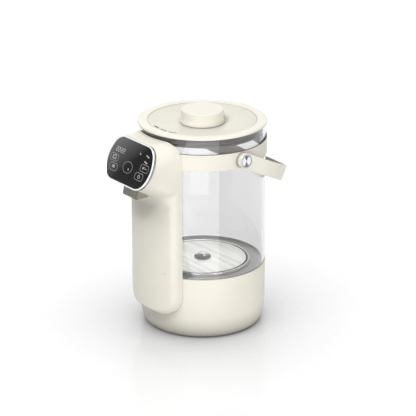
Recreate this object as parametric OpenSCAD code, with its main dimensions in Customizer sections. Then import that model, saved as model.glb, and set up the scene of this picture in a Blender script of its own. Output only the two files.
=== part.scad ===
// Hot water dispenser: a glass vessel clamped on a heated base, with a column in front
// that carries the touch panel and the spout, a lift-off lid and a swinging carry handle.
// The origin is on the vessel's axis at the surface it stands on. Front is -Y, up is +Z.

/* [Base] */
// Outer radius of the base
base_r = 80; // [76:0.5:88]
// Height of the base's rim above the table
rim_z = 81; // [76:0.5:92]
// Wall of the base, and width of the rim that the glass stands on
base_wall = 3; // [2.6:0.1:4]
// Height of the rounded turn-in at the bottom of the base
turn_h = 34; // [26:0.5:40]
// How far the bottom of the base turns in
turn_w = 8; // [6:0.25:10]
// How far the rubber foot stands out below the base
foot_h = 1.5; // [1:0.1:2.5]
// Distance from the base's outside in to the middle of the foot ring
foot_inset = 18; // [17:0.5:22]
// Width of the foot ring
foot_w = 6; // [4:0.5:7]
// Thickness of the bottom cover
cover_t = 2.5; // [2.2:0.1:3.5]
// Distance from the base's outside in to the bottom screws
screw_inset = 28; // [27:0.5:32]

/* [Glass] */
// Height of the glass cylinder
glass_h = 183.7; // [170:0.5:210]
// Wall of the glass
glass_wall = 3; // [2.4:0.1:3.4]
// Step from the base's wall in to the glass
glass_inset = 0.5; // [0.3:0.1:0.8]

/* [Heating plate] */
// Width of the flat flange round the raised steel disc
flange_w = 16.4; // [14:0.1:20]
// Height of the disc's top above the base's rim
disc_rise = 1.2; // [0.5:0.1:2.5]
// Radius of the disc's rounded edge
disc_edge_r = 3; // [2:0.25:3.5]
// Depth of the sealing ring's face below the base's rim
seal_drop = 1.8; // [1.4:0.1:2.4]
// Thickness of the sealing ring
seal_t = 2; // [1.5:0.1:2.6]
// Sheet thickness of the steel plate
plate_t = 1; // [0.8:0.1:1.4]
// Thickness of the aluminium pad under the plate
pad_t = 4; // [3:0.25:5]
// Distance from the disc's wall in to the middle of the heater's tube
heater_inset = 18.6; // [14:0.2:22]
// Radius of the heater's tube
heater_tube_r = 4; // [3.5:0.1:4.5]

/* [Strainer] */
// Radius of the strainer's flange
strainer_r = 10.7; // [9.5:0.1:12]
// Radius of the strainer's crown
crown_r = 7.5; // [6.8:0.1:8.5]
// Height of the strainer above the disc
strainer_h = 6; // [5:0.25:8]

/* [Collar] */
// Height of the collar
collar_h = 21.65; // [20.5:0.25:26]
// Distance from the glass's top edge down to the collar
collar_drop = 18.5; // [15:0.25:21]
// Wall of the collar
collar_wall = 1.5; // [1.2:0.1:2]
// Radius of the pivot bosses
boss_r = 9.9; // [9:0.1:10.2]
// How far the pivot bosses stand out from the collar
boss_out = 5.2; // [4.5:0.1:7]

/* [Lid] */
// How far the lid stands out past the base
lid_over = 1.6; // [1.3:0.1:3]
// Height of the lid's edge
lid_t = 3; // [2.8:0.1:4]
// Width of the lid's rim round the dish
lid_rim_w = 13.1; // [11.5:0.1:15.5]
// Depth of the dish's centre below the lid's rim
dish_drop = 4.7; // [3:0.1:5]
// Radius of the knob's top
knob_r = 27.1; // [23:0.1:30]
// Height of the knob above the dish
knob_h = 17.8; // [14:0.1:22]
// Depth of the plug that hangs into the glass
plug_h = 12; // [9:0.25:14]
// Angle that a steam slot spans
vent_angle = 10.4; // [8:0.2:15]

/* [Column] */
// Half of the column's width
col_half_w = 46.2; // [43.5:0.1:46.5]
// How far the column's front stands out from the base
col_out = 11; // [10.5:0.1:14]
// Height of the column's bottom end above the table
col_z = 32; // [30:0.5:45]
// Radius of the column's upright front edges
col_edge_r = 6.5; // [4:0.25:9]
// Radius of the column's bottom corners, seen from the front
col_corner_r = 22; // [16:0.5:22]
// Radius of the head's top corners, seen from the front
head_corner_r = 22; // [18:0.5:28]
// Wall of the column and the head
col_wall = 2.4; // [2:0.1:2.6]
// Distance from the glass's top edge down to the head's top
head_drop = 5.5; // [4:0.25:7]
// Radius of the hollow under the head
head_fillet_r = 14; // [10:0.5:18]
// Height of the head at its root on the column
head_root_h = 78; // [74:0.5:84]

/* [Panel] */
// Angle at which the panel leans back
panel_tilt = 25; // [20:0.5:30]
// Distance from the base's front to the panel's centre
panel_out = 31.8; // [30:0.1:36]
// Distance from the glass's top edge down to the panel's centre
panel_drop = 32.8; // [31:0.1:35]
// Half of the panel's width
panel_half_w = 43.8; // [42:0.1:46]
// Half of the panel's height
panel_half_h = 26.8; // [25:0.1:29]
// Radius of the panel's bowed sides
panel_side_r = 36; // [32:0.5:44]
// Radius of the panel's corners
panel_corner_r = 18; // [15:0.5:19]
// Width of the bright bezel
bezel_w = 1.9; // [1.5:0.1:2.4]
// Thickness of the black glass
panel_t = 2; // [1.5:0.1:2.5]

/* [Spout] */
// Half of the spout block's width
spout_half_w = 15.5; // [13:0.25:17]
// Distance from the base's front to the spout's front
spout_out = 32; // [30:0.25:33.5]
// Depth of the spout block from front to back
spout_d = 18; // [15:0.25:18.5]
// Distance from the glass's top edge down to the spout's mouth
spout_drop = 77.3; // [76:0.25:80]
// Height of the spout block
spout_h = 18; // [15:0.5:19]
// Radius of the outlet's bore
outlet_r = 3; // [2.5:0.1:3.5]
// Length of the outlet's bore
outlet_len = 15; // [12:0.5:16]

/* [Handle] */
// Angle by which the resting handle drops behind the vessel
strap_drop = 26; // [22:0.5:32]
// Width of the strap
strap_w = 19.5; // [17:0.25:20]
// Thickness of the strap
strap_t = 3.3; // [2.8:0.1:3.6]
// Length of the strap's straight sides
strap_straight = 27; // [24:0.5:40]
// Radius of the pivot screws' shoulders
shoulder_r = 4; // [3.5:0.1:4.5]
// Radius of the bright caps on the pivots
cap_r = 7.5; // [7:0.1:8]

/* [Pump] */
// Radius of the pump's housing
pump_r = 16; // [15:0.25:17]
// Length of the pump's housing
pump_len = 14; // [13:0.25:16]
// Radius of the motor
motor_r = 13.5; // [12:0.25:14]
// Length of the motor
motor_len = 30; // [26:0.5:32]
// Height of the pump's axis above the bottom cover
pump_rise = 21; // [20:0.25:23]
// Distance from the base's wall in to the pump's axis
pump_inset = 39; // [37:0.5:42]

/* [Electronics] */
// Width of the main board
board_w = 72; // [66:0.5:76]
// Distance from the base's outside in to the main board's rear corners
board_inset = 23.1; // [22:0.1:26]
// Height of the posts that carry the main board
post_h = 9; // [7:0.25:11]
// Width of the power inlet's flange
inlet_w = 34; // [32:0.25:36]
// Height of the power inlet's flange
inlet_h = 25; // [24:0.25:27]
// Height of the power inlet's centre above the table
inlet_z = 41; // [38:0.5:46]

/* [Hidden] */

$fn = 96;
// Clearance round pieces that are pushed or laid into their seats
fit = 0.3;
// Radial clearance of shafts and pins in their bores
run = 0.05;
// Allowance by which cutting tools reach past the surface they cut
eps = 1;

cream = [0.95, 0.93, 0.87];
silicone = [0.62, 0.62, 0.60];
steel = [0.76, 0.77, 0.78];
bright = [0.86, 0.87, 0.88];
board_green = [0.10, 0.32, 0.20];

// Circles that follow the base and the lid
base_in = base_r - base_wall;
foot_r = base_r - foot_inset;
cover_screw_r = base_r - screw_inset;
disc_r = base_in - flange_w;
heater_r = disc_r - heater_inset;
nut_r = 13;
nut_h = 6;
sensor_x = (heater_r - heater_tube_r + nut_r) / 2;
lid_r = base_r + lid_over;
dish_r = lid_r - lid_rim_w;

// Stack of the vessel
glass_r = base_r - glass_inset;
glass_in = glass_r - glass_wall;
seat_z = rim_z + glass_h;
disc_z = rim_z + disc_rise;
seal_z = rim_z - seal_drop;
flange_z = seal_z - seal_t;
ledge_z = flange_z - plate_t;
ledge_t = 3;
ledge_in = disc_r + 4;
pad_z = disc_z - plate_t - pad_t;
collar_z1 = seat_z - collar_drop;
collar_z0 = collar_z1 - collar_h;
collar_in = glass_r + 0.2;
collar_r = collar_in + collar_wall;
pivot_z = (collar_z0 + collar_z1) / 2;
lid_top_z = seat_z + lid_t;

// Bottom of the base
cover_r = base_r - turn_w - base_wall - fit;
cover_z = foot_h + cover_t;
foot_groove = 1;
cover_lip = 2;
screw_boss_r = 4;
screw_boss_h = 11;
screw_r = 1.5;
screw_angles = [-145, -35, 70, 110];

// Column and head
col_r = base_r + col_out;
col_gap = 0.3;
back_t = 1.5;
head_z1 = seat_z - head_drop;
head_z0 = head_z1 - head_root_h;
head_root_y = -(base_r - 4);
panel_y = -(base_r + panel_out);
panel_z = seat_z - panel_drop;
bezel_back = panel_t + 2;
spout_y = -(base_r + spout_out) + spout_d / 2;
spout_z = seat_z - spout_drop;
spout_top_z = spout_z + spout_h;
nozzle_r = outlet_r + 3;
nozzle_out = 0.8;
nozzle_z = spout_z - nozzle_out;

// Pump and its ports
pump_x = -10;
pump_y = pump_inset - base_in;
pump_z = cover_z + pump_rise;
pump_wall = 2;
impeller_r = pump_r - pump_wall - 1;
shaft_r = 1.5;
port_r = 1.8;
port_bore_r = 1.2;
port_len = 8;
out_port_y = pump_y - 9;

// Hoses, by their route's own points
hose_r = 2.9;
feed_r = 4.6;
feed_port_r = 3;
hose_way_r = (base_r + col_gap + back_t + base_r + col_out - col_wall) / 2;
hose_y = -sqrt(pow(hose_way_r, 2) - pow(pump_x, 2));

// Boards
board_y0 = 0;
board_d = sqrt(pow(base_r - board_inset, 2) - pow(board_w / 2, 2)) - board_y0;
board_t = 1.6;
socket_x = -board_w * 0.28;
socket_d = board_d * 0.14;
transformer_x = -board_w * 0.28;
transformer_w = board_w * 0.28;
relay_x = board_w * 0.11;
parts_y = board_y0 + board_d * 0.5;
lead_y = board_y0 + board_d * 0.82;
mains_y = board_y0 + board_d * 0.93;
board_z = cover_z + post_h;
board_top = board_z + board_t;
post_in = 5;
inlet_face_y = base_r - 2.5;
inlet_flange_t = 1.6;

// Ribbon from the main board to the display
ribbon_x = 19;
ribbon_w = 12;
ribbon_y = hose_y + 1;
pass_z = col_z + 24;

function flat(list) = [for (part = list) for (p = part) p];
function arc(c, r, a0, a1, n) =
    [for (i = [0:n]) let (a = a0 + (a1 - a0) * i / n) [c[0] + r * cos(a), c[1] + r * sin(a)]];
function reversed(list) = [for (i = [len(list) - 1:-1:0]) list[i]];
function mirrored(points) = concat(points, [for (p = reversed(points)) [-p[0], p[1]]]);

// Outside of the base from its foot to its rim, moved in by inset
function base_side(inset, z0, z1) =
    let (n = 10, t0 = asin(min(1, max(0, (foot_h + turn_h - z0) / turn_h))))
    concat([for (i = [0:n]) let (t = t0 * (1 - i / n))
        [base_r - turn_w + turn_w * cos(t) - inset, foot_h + turn_h - turn_h * sin(t)]],
        [[base_r - inset, z1]]);

// Right half of the panel's outline, grown by grow, from bottom to top
function panel_side(grow) =
    let (w = panel_half_w + grow, h = panel_half_h + grow, rs = panel_side_r + grow,
        rc = panel_corner_r + grow, cx = w - rs,
        cy = h - rc, px = cx + sqrt(pow(rs - rc, 2) - cy * cy),
        a = atan2(cy, px - cx))
    concat(arc([px, -cy], rc, -90, -a, 6), arc([cx, 0], rs, -a * 0.8, a * 0.8, 5),
        arc([px, cy], rc, a, 90, 6));
function panel_outline(grow) = mirrored(panel_side(grow));

// Right half of the column's plan, moved in by inset, from the front to the back
function column_side(inset) =
    let (r = col_r - inset, w = col_half_w - inset, rc = max(col_edge_r - inset, 1),
        cx = w - rc, cy = -sqrt(pow(r - rc, 2) - cx * cx), a = atan2(cy, cx))
    concat(arc([0, 0], r, -90, a, 8), arc([cx, cy], rc, a * 0.8, 0, 4), [[w, -50]]);

// Block with rounded corners, seen from the front: r0 below and r1 above
module outline_box(w, z0, z1, r0, r1, y0, y1) {
    points = mirrored(concat(arc([w - r0, z0 + r0], r0, -90, 0, 8),
        arc([w - r1, z1 - r1], r1, 0, 90, 8)));
    translate([0, y1, 0]) rotate([90, 0, 0]) linear_extrude(y1 - y0) polygon(points);
}

module ring(r_out, r_in, z0, z1) {
    translate([0, 0, z0]) difference() {
        cylinder(r = r_out, h = z1 - z0);
        translate([0, 0, -eps]) cylinder(r = r_in, h = z1 - z0 + 2 * eps);
    }
}

module along_x(x0, x1, r) {
    translate([x0, 0, 0]) rotate([0, 90, 0]) cylinder(r = r, h = x1 - x0);
}

module on_panel() {
    translate([0, panel_y, panel_z]) rotate([90 - panel_tilt, 0, 0]) children();
}

module panel_plate(grow, z0, z1) {
    translate([0, 0, z0]) linear_extrude(z1 - z0) polygon(panel_outline(grow));
}

// Smooth curve through a route's points, as a hose or, with no bore, a solid lead
function spline(p, i, t) =
    let (a = p[max(i - 1, 0)], b = p[i], c = p[i + 1], d = p[min(i + 2, len(p) - 1)])
    0.5 * (2 * b + (c - a) * t + (2 * a - 5 * b + 4 * c - d) * t * t
        + (3 * b - a - 3 * c + d) * t * t * t);
function unit(v) = v / norm(v);
function route(p, steps) = concat([for (i = [0:len(p) - 2]) for (k = [0:steps - 1])
    spline(p, i, k / steps)], [p[len(p) - 1]]);
function turned(side, dir) = unit(side - (side * dir) * dir);
function sides(dirs, side, i = 0) = i >= len(dirs) ? [] :
    let (s = turned(side, dirs[i])) concat([s], sides(dirs, s, i + 1));
module tube(points, r_out, r_in, first_side) {
    steps = 3;
    n = 10;
    path = route(points, steps);
    last = len(path) - 1;
    dirs = [for (i = [0:last]) unit(path[min(i + 1, last)] - path[max(i - 1, 0)])];
    us = sides(dirs, first_side);
    radii = r_in > 0 ? [r_out, r_in / cos(180 / n)] : [r_out];
    verts = flat([for (r = radii) flat([for (i = [0:last]) [for (k = [0:n - 1])
        let (a = 360 * k / n) path[i] + r * (cos(a) * us[i] + sin(a) * cross(dirs[i], us[i]))]])]);
    inner = (last + 1) * n;
    walls = flat([for (i = [0:last - 1]) flat([for (k = [0:n - 1])
        let (a = i * n + k, b = i * n + (k + 1) % n) [[a, a + n, b + n], [a, b + n, b]]])]);
    bore = [for (f = walls) [inner + f[0], inner + f[2], inner + f[1]]];
    rims = flat([for (k = [0:n - 1]) let (m = (k + 1) % n, z = last * n)
        [[k, m, inner + m], [k, inner + m, inner + k],
            [z + k, inner + z + m, z + m], [z + k, inner + z + k, inner + z + m]]]);
    caps = [[for (k = [0:n - 1]) k], [for (k = [n - 1:-1:0]) last * n + k]];
    polyhedron(verts, r_in > 0 ? concat(walls, bore, rims) : concat(walls, caps),
        convexity = 6);
}

// Outer shell of the base, with the ledge for the heating plate
module base_shell() {
    profile = concat([[base_r - turn_w - base_wall, foot_h]], base_side(0, foot_h, rim_z),
        [[base_in, rim_z], [base_in, ledge_z], [ledge_in, ledge_z],
            [ledge_in, ledge_z - ledge_t]],
        reversed(base_side(base_wall, cover_z + cover_lip, ledge_z - ledge_t)),
        [[cover_r - 3, cover_z + cover_lip], [cover_r - 3, cover_z], [cover_r + fit, cover_z]]);
    color(cream) difference() {
        union() {
            rotate_extrude() polygon(profile);
            base_screw_bosses();
            inlet_pad();
        }
        inlet_facet();
        hose_window();
        column_screw_holes();
    }
}

module base_screw_bosses() {
    for (a = screw_angles) rotate(a) difference() {
        union() {
            translate([cover_screw_r, 0, cover_z]) cylinder(r = screw_boss_r, h = screw_boss_h);
            translate([cover_screw_r, -1, cover_z + 0.5])
                cube([cover_r - 1 - cover_screw_r, 2, cover_lip + 5]);
        }
        translate([cover_screw_r, 0, cover_z - eps]) cylinder(r = screw_r + run,
            h = screw_boss_h - 1 + eps);
    }
}

// Thicker wall behind the flat that the power inlet sits on
module inlet_pad() {
    intersection() {
        translate([-inlet_w / 2 - 3, inlet_face_y - 3, inlet_z - inlet_h / 2 - 3])
            cube([inlet_w + 6, base_wall + eps, inlet_h + 6]);
        cylinder(r = base_r - base_wall / 2, h = rim_z);
    }
}

module inlet_facet() {
    translate([-base_r / 2, inlet_face_y, inlet_z - inlet_h / 2 - 1])
        cube([base_r, base_wall + eps, inlet_h + 2]);
    translate([-inlet_w / 2 + 3 - fit, inlet_face_y - 6, inlet_z - inlet_h / 2 + 2.5 - fit])
        cube([inlet_w - 6 + 2 * fit, 6 + eps, inlet_h - 5 + 2 * fit]);
}

module hose_window() {
    translate([pump_x - 8, -base_r - eps, col_z + 20])
        cube([ribbon_x + ribbon_w / 2 + 2 - pump_x + 8, base_r / 4, 16]);
}

// Centre of the column's screws, in height and to each side
column_screw_z = col_z + 28;
column_screw_x = 30;
module column_screw_holes() {
    for (s = [-1, 1]) translate([s * column_screw_x, -base_r - eps, column_screw_z])
        rotate([-90, 0, 0]) cylinder(r = screw_r + run, h = 5 * base_wall + eps);
}

// Cover that closes the base from below, with the board's posts and the foot's groove
module bottom_cover() {
    color(cream) difference() {
        union() {
            translate([0, 0, foot_h]) cylinder(r = cover_r, h = cover_t);
            for (x = [-1, 1], y = [0, 1]) translate([x * (board_w / 2 - post_in),
                board_y0 + post_in + y * (board_d - 2 * post_in), cover_z])
                cylinder(r = 3, h = post_h);
        }
        ring(foot_r + foot_w / 2, foot_r - foot_w / 2, foot_h - eps, foot_h + foot_groove);
        for (a = screw_angles) rotate(a) translate([cover_screw_r, 0, foot_h - eps]) {
            cylinder(r = screw_r + fit, h = cover_t + 2 * eps);
            cylinder(r = 3 + fit, h = eps + 1.2);
        }
        for (x = [-1, 1], y = [0, 1]) translate([x * (board_w / 2 - post_in),
            board_y0 + post_in + y * (board_d - 2 * post_in), cover_z + 1])
            cylinder(r = 1.1, h = post_h);
    }
}

module foot_ring() {
    color([0.25, 0.25, 0.25])
        ring(foot_r + foot_w / 2 - run, foot_r - foot_w / 2 + run, 0, foot_h + foot_groove);
}

module bottom_screws() {
    color(steel) for (a = screw_angles) rotate(a) translate([cover_screw_r, 0, foot_h]) {
        translate([0, 0, 0.1]) cylinder(r = 3, h = 1.1);
        translate([0, 0, 1]) cylinder(r = screw_r, h = cover_t + screw_boss_h - 3);
    }
}

// Steel floor of the vessel: a raised disc with a rounded edge and a flange
module heating_plate() {
    hole_r = 8.2;
    in_r = disc_edge_r - plate_t;
    points = concat([[hole_r, disc_z]],
        arc([disc_r - disc_edge_r, disc_z - disc_edge_r], disc_edge_r, 90, 0, 6),
        [[disc_r, flange_z], [base_in - fit, flange_z], [base_in - fit, ledge_z],
            [disc_r - plate_t, ledge_z]],
        arc([disc_r - disc_edge_r, disc_z - disc_edge_r], in_r, 0, 90, 6),
        [[hole_r, disc_z - plate_t]]);
    color(steel) rotate_extrude() polygon(points);
}

// Silicone ring that seals the plate to the glass
module plate_seal() {
    points = [[disc_r + 0.2, flange_z], [base_in - fit, flange_z], [base_in - fit, rim_z - 0.2],
        [glass_in - 0.2, rim_z - 0.2], [glass_in - 0.2, rim_z + 1.4],
        [glass_in - 1.2, rim_z + 1.4], [glass_in - 1.6, seal_z], [disc_r + 0.2, seal_z]];
    color(silicone) rotate_extrude() polygon(points);
}

module heater_pad() {
    color("silver") ring(disc_r - disc_edge_r - 1.5, 9.5, pad_z, pad_z + pad_t);
}

// Tubular heater: a broken ring with a flat top and two cold ends
heater_gap = 30;
heater_end_h = 12;
lead_r = 1.2;
module heater_element() {
    bed = 0.6;
    color([0.55, 0.55, 0.55]) {
        rotate(90 + heater_gap / 2) rotate_extrude(angle = 360 - heater_gap)
            translate([heater_r, pad_z - heater_tube_r + bed]) intersection() {
                circle(r = heater_tube_r, $fn = 40);
                translate([-heater_tube_r - eps, -heater_tube_r - eps])
                    square([2 * (heater_tube_r + eps), 2 * heater_tube_r + eps - bed]);
            }
        for (s = [-1, 1]) rotate(90 + s * (heater_gap / 2 + 4)) translate([heater_r, 0,
            pad_z - heater_tube_r - heater_end_h]) cylinder(r = 2.2, h = heater_end_h);
    }
}

module thermostat() {
    r = (heater_r - heater_tube_r - nut_r) * 0.34;
    color([0.35, 0.30, 0.25]) translate([sensor_x, 0, pad_z - r - 0.5]) {
        translate([0, 0, 3]) cylinder(r = r, h = r - 2.5);
        cylinder(r = r * 0.8, h = 3);
        for (s = [-1, 1]) translate([-0.4, (s * r - r * 0.4) / 2, -6])
            cube([0.8, r * 0.4, 6]);
    }
}

module water_sensor() {
    color("silver") translate([-sensor_x, 0, pad_z - 8]) {
        cylinder(r = 3, h = 8);
        translate([0, 0, 5]) cylinder(r = 6, h = 3);
    }
}

// Fitting through the plate, with a spigot for the hose below
fitting_r = 7.9;
fitting_bore_r = 6.3;
spigot_len = 19;
spigot_z = pad_z - spigot_len;
module outlet_fitting() {
    color("silver") difference() {
        union() {
            translate([0, 0, pad_z]) cylinder(r = fitting_r, h = disc_z - pad_z - 0.3);
            translate([0, 0, pad_z - nut_h]) cylinder(r = nut_r, h = nut_h, $fn = 6);
            translate([0, 0, spigot_z]) cylinder(r = feed_port_r, h = pad_z - spigot_z);
        }
        translate([0, 0, pad_z - 2]) cylinder(r = fitting_bore_r, h = disc_z - pad_z + 3);
        translate([0, 0, spigot_z - eps]) cylinder(r = feed_port_r - 1, h = pad_z - spigot_z);
    }
}

// Strainer cap over the outlet, with a ring of windows round its crown
module outlet_strainer() {
    windows = 8;
    flange_t = 1.3;
    stem = 4;
    color(bright) difference() {
        union() {
            translate([0, 0, disc_z]) cylinder(r = strainer_r, h = flange_t);
            rotate_extrude() polygon([[0, disc_z], [crown_r, disc_z],
                [crown_r - 0.4, disc_z + strainer_h - 1.2],
                [crown_r - 1.6, disc_z + strainer_h], [0, disc_z + strainer_h]]);
            translate([0, 0, disc_z - stem]) cylinder(r = fitting_bore_r - run, h = stem);
        }
        translate([0, 0, disc_z - stem - eps])
            cylinder(r = fitting_bore_r - 1.4, h = stem + strainer_h - 1 + eps);
        for (i = [0:windows - 1]) rotate(360 * i / windows)
            translate([crown_r - 3.2, -1, disc_z + flange_t + 0.8]) cube([5, 2, 2.4]);
    }
}

module glass_cylinder() {
    color([0.8, 0.9, 0.95, 0.3]) ring(glass_r, glass_in, rim_z, seat_z);
}

// Band round the glass, with the two bosses that carry the handle
module collar() {
    face_x = collar_r + boss_out;
    color(cream) difference() {
        union() {
            translate([0, 0, collar_z0]) cylinder(r = collar_r, h = collar_h);
            for (s = [0, 1]) mirror([s, 0, 0]) translate([0, 0, pivot_z]) {
                along_x(collar_r - 4, face_x, boss_r);
                translate([0, 0, -stop_at]) along_x(face_x - 1, face_x + stop_out, stop_r);
            }
        }
        translate([0, 0, collar_z0 - eps]) cylinder(r = collar_in, h = collar_h + 2 * eps);
        for (s = [0, 1]) mirror([s, 0, 0]) translate([0, 0, pivot_z])
            along_x(collar_in - 2, face_x + eps, screw_r + 1 + run);
    }
}

// Pivot screws: a threaded tip in the boss, a smooth shoulder for the strap, a bright cap
strap_x0 = collar_r + boss_out + 0.2;
strap_x1 = strap_x0 + strap_t;
cap_t = 1.8;
cap_sunk = 1;
// Stop pins on the bosses, which run in a groove on the strap's inner face
strap_swing = 118;
stop_r = 1.1;
stop_at = 6.6;
stop_out = 1;
module pivot_screws() {
    color(bright) for (s = [0, 1]) mirror([s, 0, 0]) translate([0, 0, pivot_z]) {
        along_x(collar_in + 1, strap_x0, screw_r + 1);
        along_x(collar_r + boss_out, strap_x1 - cap_sunk + 0.1, shoulder_r);
        translate([strap_x1 - cap_sunk + 0.1, 0, 0]) rotate([0, 90, 0]) rotate_extrude()
            polygon([[0, 0], [cap_r, 0], [cap_r, cap_t - 0.8], [cap_r - 0.8, cap_t], [0, cap_t]]);
    }
}

// Column and head in one shell, open towards the vessel and at the panel
module column_solid(inset) {
    intersection() {
        translate([0, 0, col_z - eps]) linear_extrude(seat_z)
            polygon(mirrored(column_side(inset)));
        outline_box(col_half_w - inset, col_z + inset, head_z1 - inset,
            col_corner_r - inset, head_corner_r - inset, -2 * base_r, 0);
        union() {
            translate([-base_r, -2 * base_r, 0])
                cube([2 * base_r, 2 * base_r, head_z0 + head_root_h / 2]);
            translate([-base_r, head_root_y - 0.4, 0]) cube([2 * base_r, base_r, seat_z]);
        }
    }
}

module head_solid(inset, front) {
    hull() {
        on_panel() panel_plate(bezel_w - 0.3 - inset, -bezel_back - 0.6, -bezel_back + front);
        outline_box(col_half_w - inset, head_z0 + inset, head_z1 - inset,
            col_corner_r - inset, head_corner_r - inset, head_root_y - 0.5, head_root_y);
    }
}

// Concave bar that eases the head's underside into the column's front
module head_fillet() {
    r = head_fillet_r;
    low = panel_half_h + bezel_w;
    front = -panel_y + low * sin(panel_tilt) - bezel_back * cos(panel_tilt);
    front_z = panel_z - low * cos(panel_tilt) - bezel_back * sin(panel_tilt);
    a = atan2(front_z - head_z0, front + head_root_y);
    bite = 0.15;
    cr = col_r + r - bite;
    cz = head_z0 + (cr + head_root_y) * tan(a) - r / cos(a) + bite;
    bend = arc([cr, cz], r, 180, 90 + a, 6);
    rotate(-90 - 17) rotate_extrude(angle = 34) polygon(concat([[col_r - 2, cz]], bend,
        [[cr - r * sin(a), cz + r + 2], [col_r - 2, cz + r + 2]]));
}

module column_shell() {
    color(cream) difference() {
        union() {
            difference() {
                union() {
                    column_solid(0);
                    head_solid(0, 0);
                    head_fillet();
                }
                column_solid(col_wall);
                head_solid(col_wall, eps);
            }
            column_screw_posts();
        }
        body_cut();
        spout_hole();
        translate([column_pin_x, -base_r, column_pin_z]) rotate([90, 0, 0])
            cylinder(r = 0.6, h = 2 * col_out, $fn = 24);
    }
}

// Pinhole for a pilot lamp, low on the column towards +X
column_pin_x = col_half_w - 11.7;
column_pin_z = col_z + 57.1;

module column_screw_posts() {
    y0 = -base_r + base_wall + 3;
    len = sqrt(pow(col_r - col_wall / 2, 2) - pow(column_screw_x, 2)) + y0;
    for (s = [-1, 1]) translate([s * column_screw_x, y0, column_screw_z])
        rotate([90, 0, 0]) difference() {
            cylinder(r = 4, h = len);
            translate([0, 0, -eps]) cylinder(r = screw_r + run, h = len - 1.5);
        }
}

// Room for the base, the glass and the collar behind the column
module body_cut() {
    translate([0, 0, 0]) cylinder(r = base_r + col_gap, h = collar_z0 - 0.3);
    translate([0, 0, collar_z0 - 0.3 - eps])
        cylinder(r = collar_r + 0.3, h = collar_z1 - collar_z0 + 0.6 + eps);
    translate([0, 0, collar_z1]) cylinder(r = base_r + col_gap, h = seat_z);
}

module spout_hole() {
    translate([-spout_half_w - fit, spout_y - spout_d / 2 - fit, spout_z - 2])
        cube([2 * (spout_half_w + fit), spout_d + 2 * fit, 24]);
}

// Curved walls that close the column behind, below and above the collar
module column_back() {
    inset = col_wall + fit;
    top_gap = 2;
    color(cream) intersection() {
        union() {
            ring(base_r + col_gap + back_t, base_r + col_gap, rim_z + fit, collar_z0 - 0.4);
            ring(base_r + col_gap + back_t, base_r + col_gap, collar_z1 + 0.4, head_z1);
        }
        outline_box(col_half_w - inset, col_z, head_z1 - inset - top_gap,
            col_corner_r - inset, head_corner_r - inset, -col_r, 0);
    }
}

module column_screws() {
    color(steel) for (s = [-1, 1]) translate([s * column_screw_x, 0, column_screw_z]) {
        head_r = 2 * screw_r;
        inner_y = -sqrt(pow(base_in, 2) - pow(column_screw_x + head_r, 2));
        translate([0, inner_y + screw_r, 0]) rotate([90, 0, 0])
            cylinder(r = head_r, h = screw_r);
        translate([0, inner_y + screw_r / 2, 0]) rotate([90, 0, 0])
            cylinder(r = screw_r, h = 3 * base_wall);
    }
}

module panel_bezel() {
    color(bright) on_panel() difference() {
        hull() {
            panel_plate(bezel_w, -bezel_back, -0.4);
            panel_plate(bezel_w - 0.7, -bezel_back, 0.3);
        }
        panel_plate(0.1, -panel_t, 2);
        panel_plate(-1.2, -bezel_back - eps, 2);
    }
}

module panel_glass() {
    color([0.06, 0.06, 0.07]) on_panel() panel_plate(0, -panel_t, 0);
}

carrier_floor = 7.6;
module display_carrier() {
    color([0.85, 0.85, 0.84]) on_panel() difference() {
        panel_plate(-1.6, -carrier_floor - 1.5, -panel_t);
        panel_plate(-3.6, -carrier_floor, -panel_t + eps);
        translate([ribbon_x - ribbon_w / 2 - 1, -16, -carrier_floor - 3])
            cube([ribbon_w + 2, 10, 4]);
    }
}

module display_board() {
    color(board_green) on_panel() panel_plate(-4, -carrier_floor, -carrier_floor + board_t);
}

// Places of the touch keys across and up, as shares of the panel's half sizes
key_spots = [[-0.6, 0.08], [-0.6, -0.38], [0, -0.2], [0.6, 0.08], [0.6, -0.38], [0.3, -0.64],
    [-0.3, -0.64]];
module touch_springs() {
    r = panel_half_h * 0.11;
    color("silver") on_panel() for (k = key_spots)
        translate([k[0] * panel_half_w, k[1] * panel_half_h, -carrier_floor + board_t])
            difference() {
                cylinder(r = r, h = carrier_floor - board_t - panel_t);
                translate([0, 0, -eps]) cylinder(r = r * 0.75, h = carrier_floor);
            }
}

module digit_display() {
    w = panel_half_w * 0.73;
    color([0.12, 0.12, 0.13]) on_panel()
        translate([-w / 2, panel_half_h * 0.34, -carrier_floor + board_t])
            cube([w, panel_half_h * 0.45, carrier_floor - board_t - panel_t]);
}

// Block under the head that holds the nozzle
module spout_block() {
    lip = spout_h * 0.14;
    color([0.62, 0.60, 0.55]) difference() {
        union() {
            translate([-spout_half_w, spout_y - spout_d / 2, spout_z])
                cube([2 * spout_half_w, spout_d, spout_h]);
            translate([-spout_half_w - lip, spout_y - spout_d * 0.28, spout_top_z - lip])
                cube([2 * (spout_half_w + lip), spout_d * 0.67, lip]);
        }
        translate([0, spout_y, spout_z - eps])
            cylinder(r = nozzle_r + run, h = spout_h + 2 * eps);
    }
}

// Nozzle with the outlet's bore below and a barb for the hose above
barb_len = 6;
module spout_nozzle() {
    len = spout_h + nozzle_out;
    color(silicone) translate([0, spout_y, nozzle_z]) difference() {
        union() {
            cylinder(r = nozzle_r, h = len);
            cylinder(r = port_r, h = len + barb_len);
        }
        translate([0, 0, -eps]) cylinder(r = outlet_r, h = outlet_len + eps);
        cylinder(r = port_bore_r, h = len + barb_len + eps);
    }
}

module inlet_hose() {
    x = pump_x - pump_len / 2 - port_len + 1;
    z = spigot_z;
    color([0.9, 0.9, 0.88]) tube([[0, 0, z + 9], [0, 0, z + 1], [0, 0, z - 6],
        [-8, -4, z - 15], [x - 10, -18, pump_z + 14], [x - 16, -30, pump_z + 4],
        [x - 10, pump_y, pump_z], [x - 2, pump_y, pump_z], [x + 5, pump_y, pump_z]],
        feed_r, feed_port_r + run, [1, 0, 0]);
}

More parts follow.
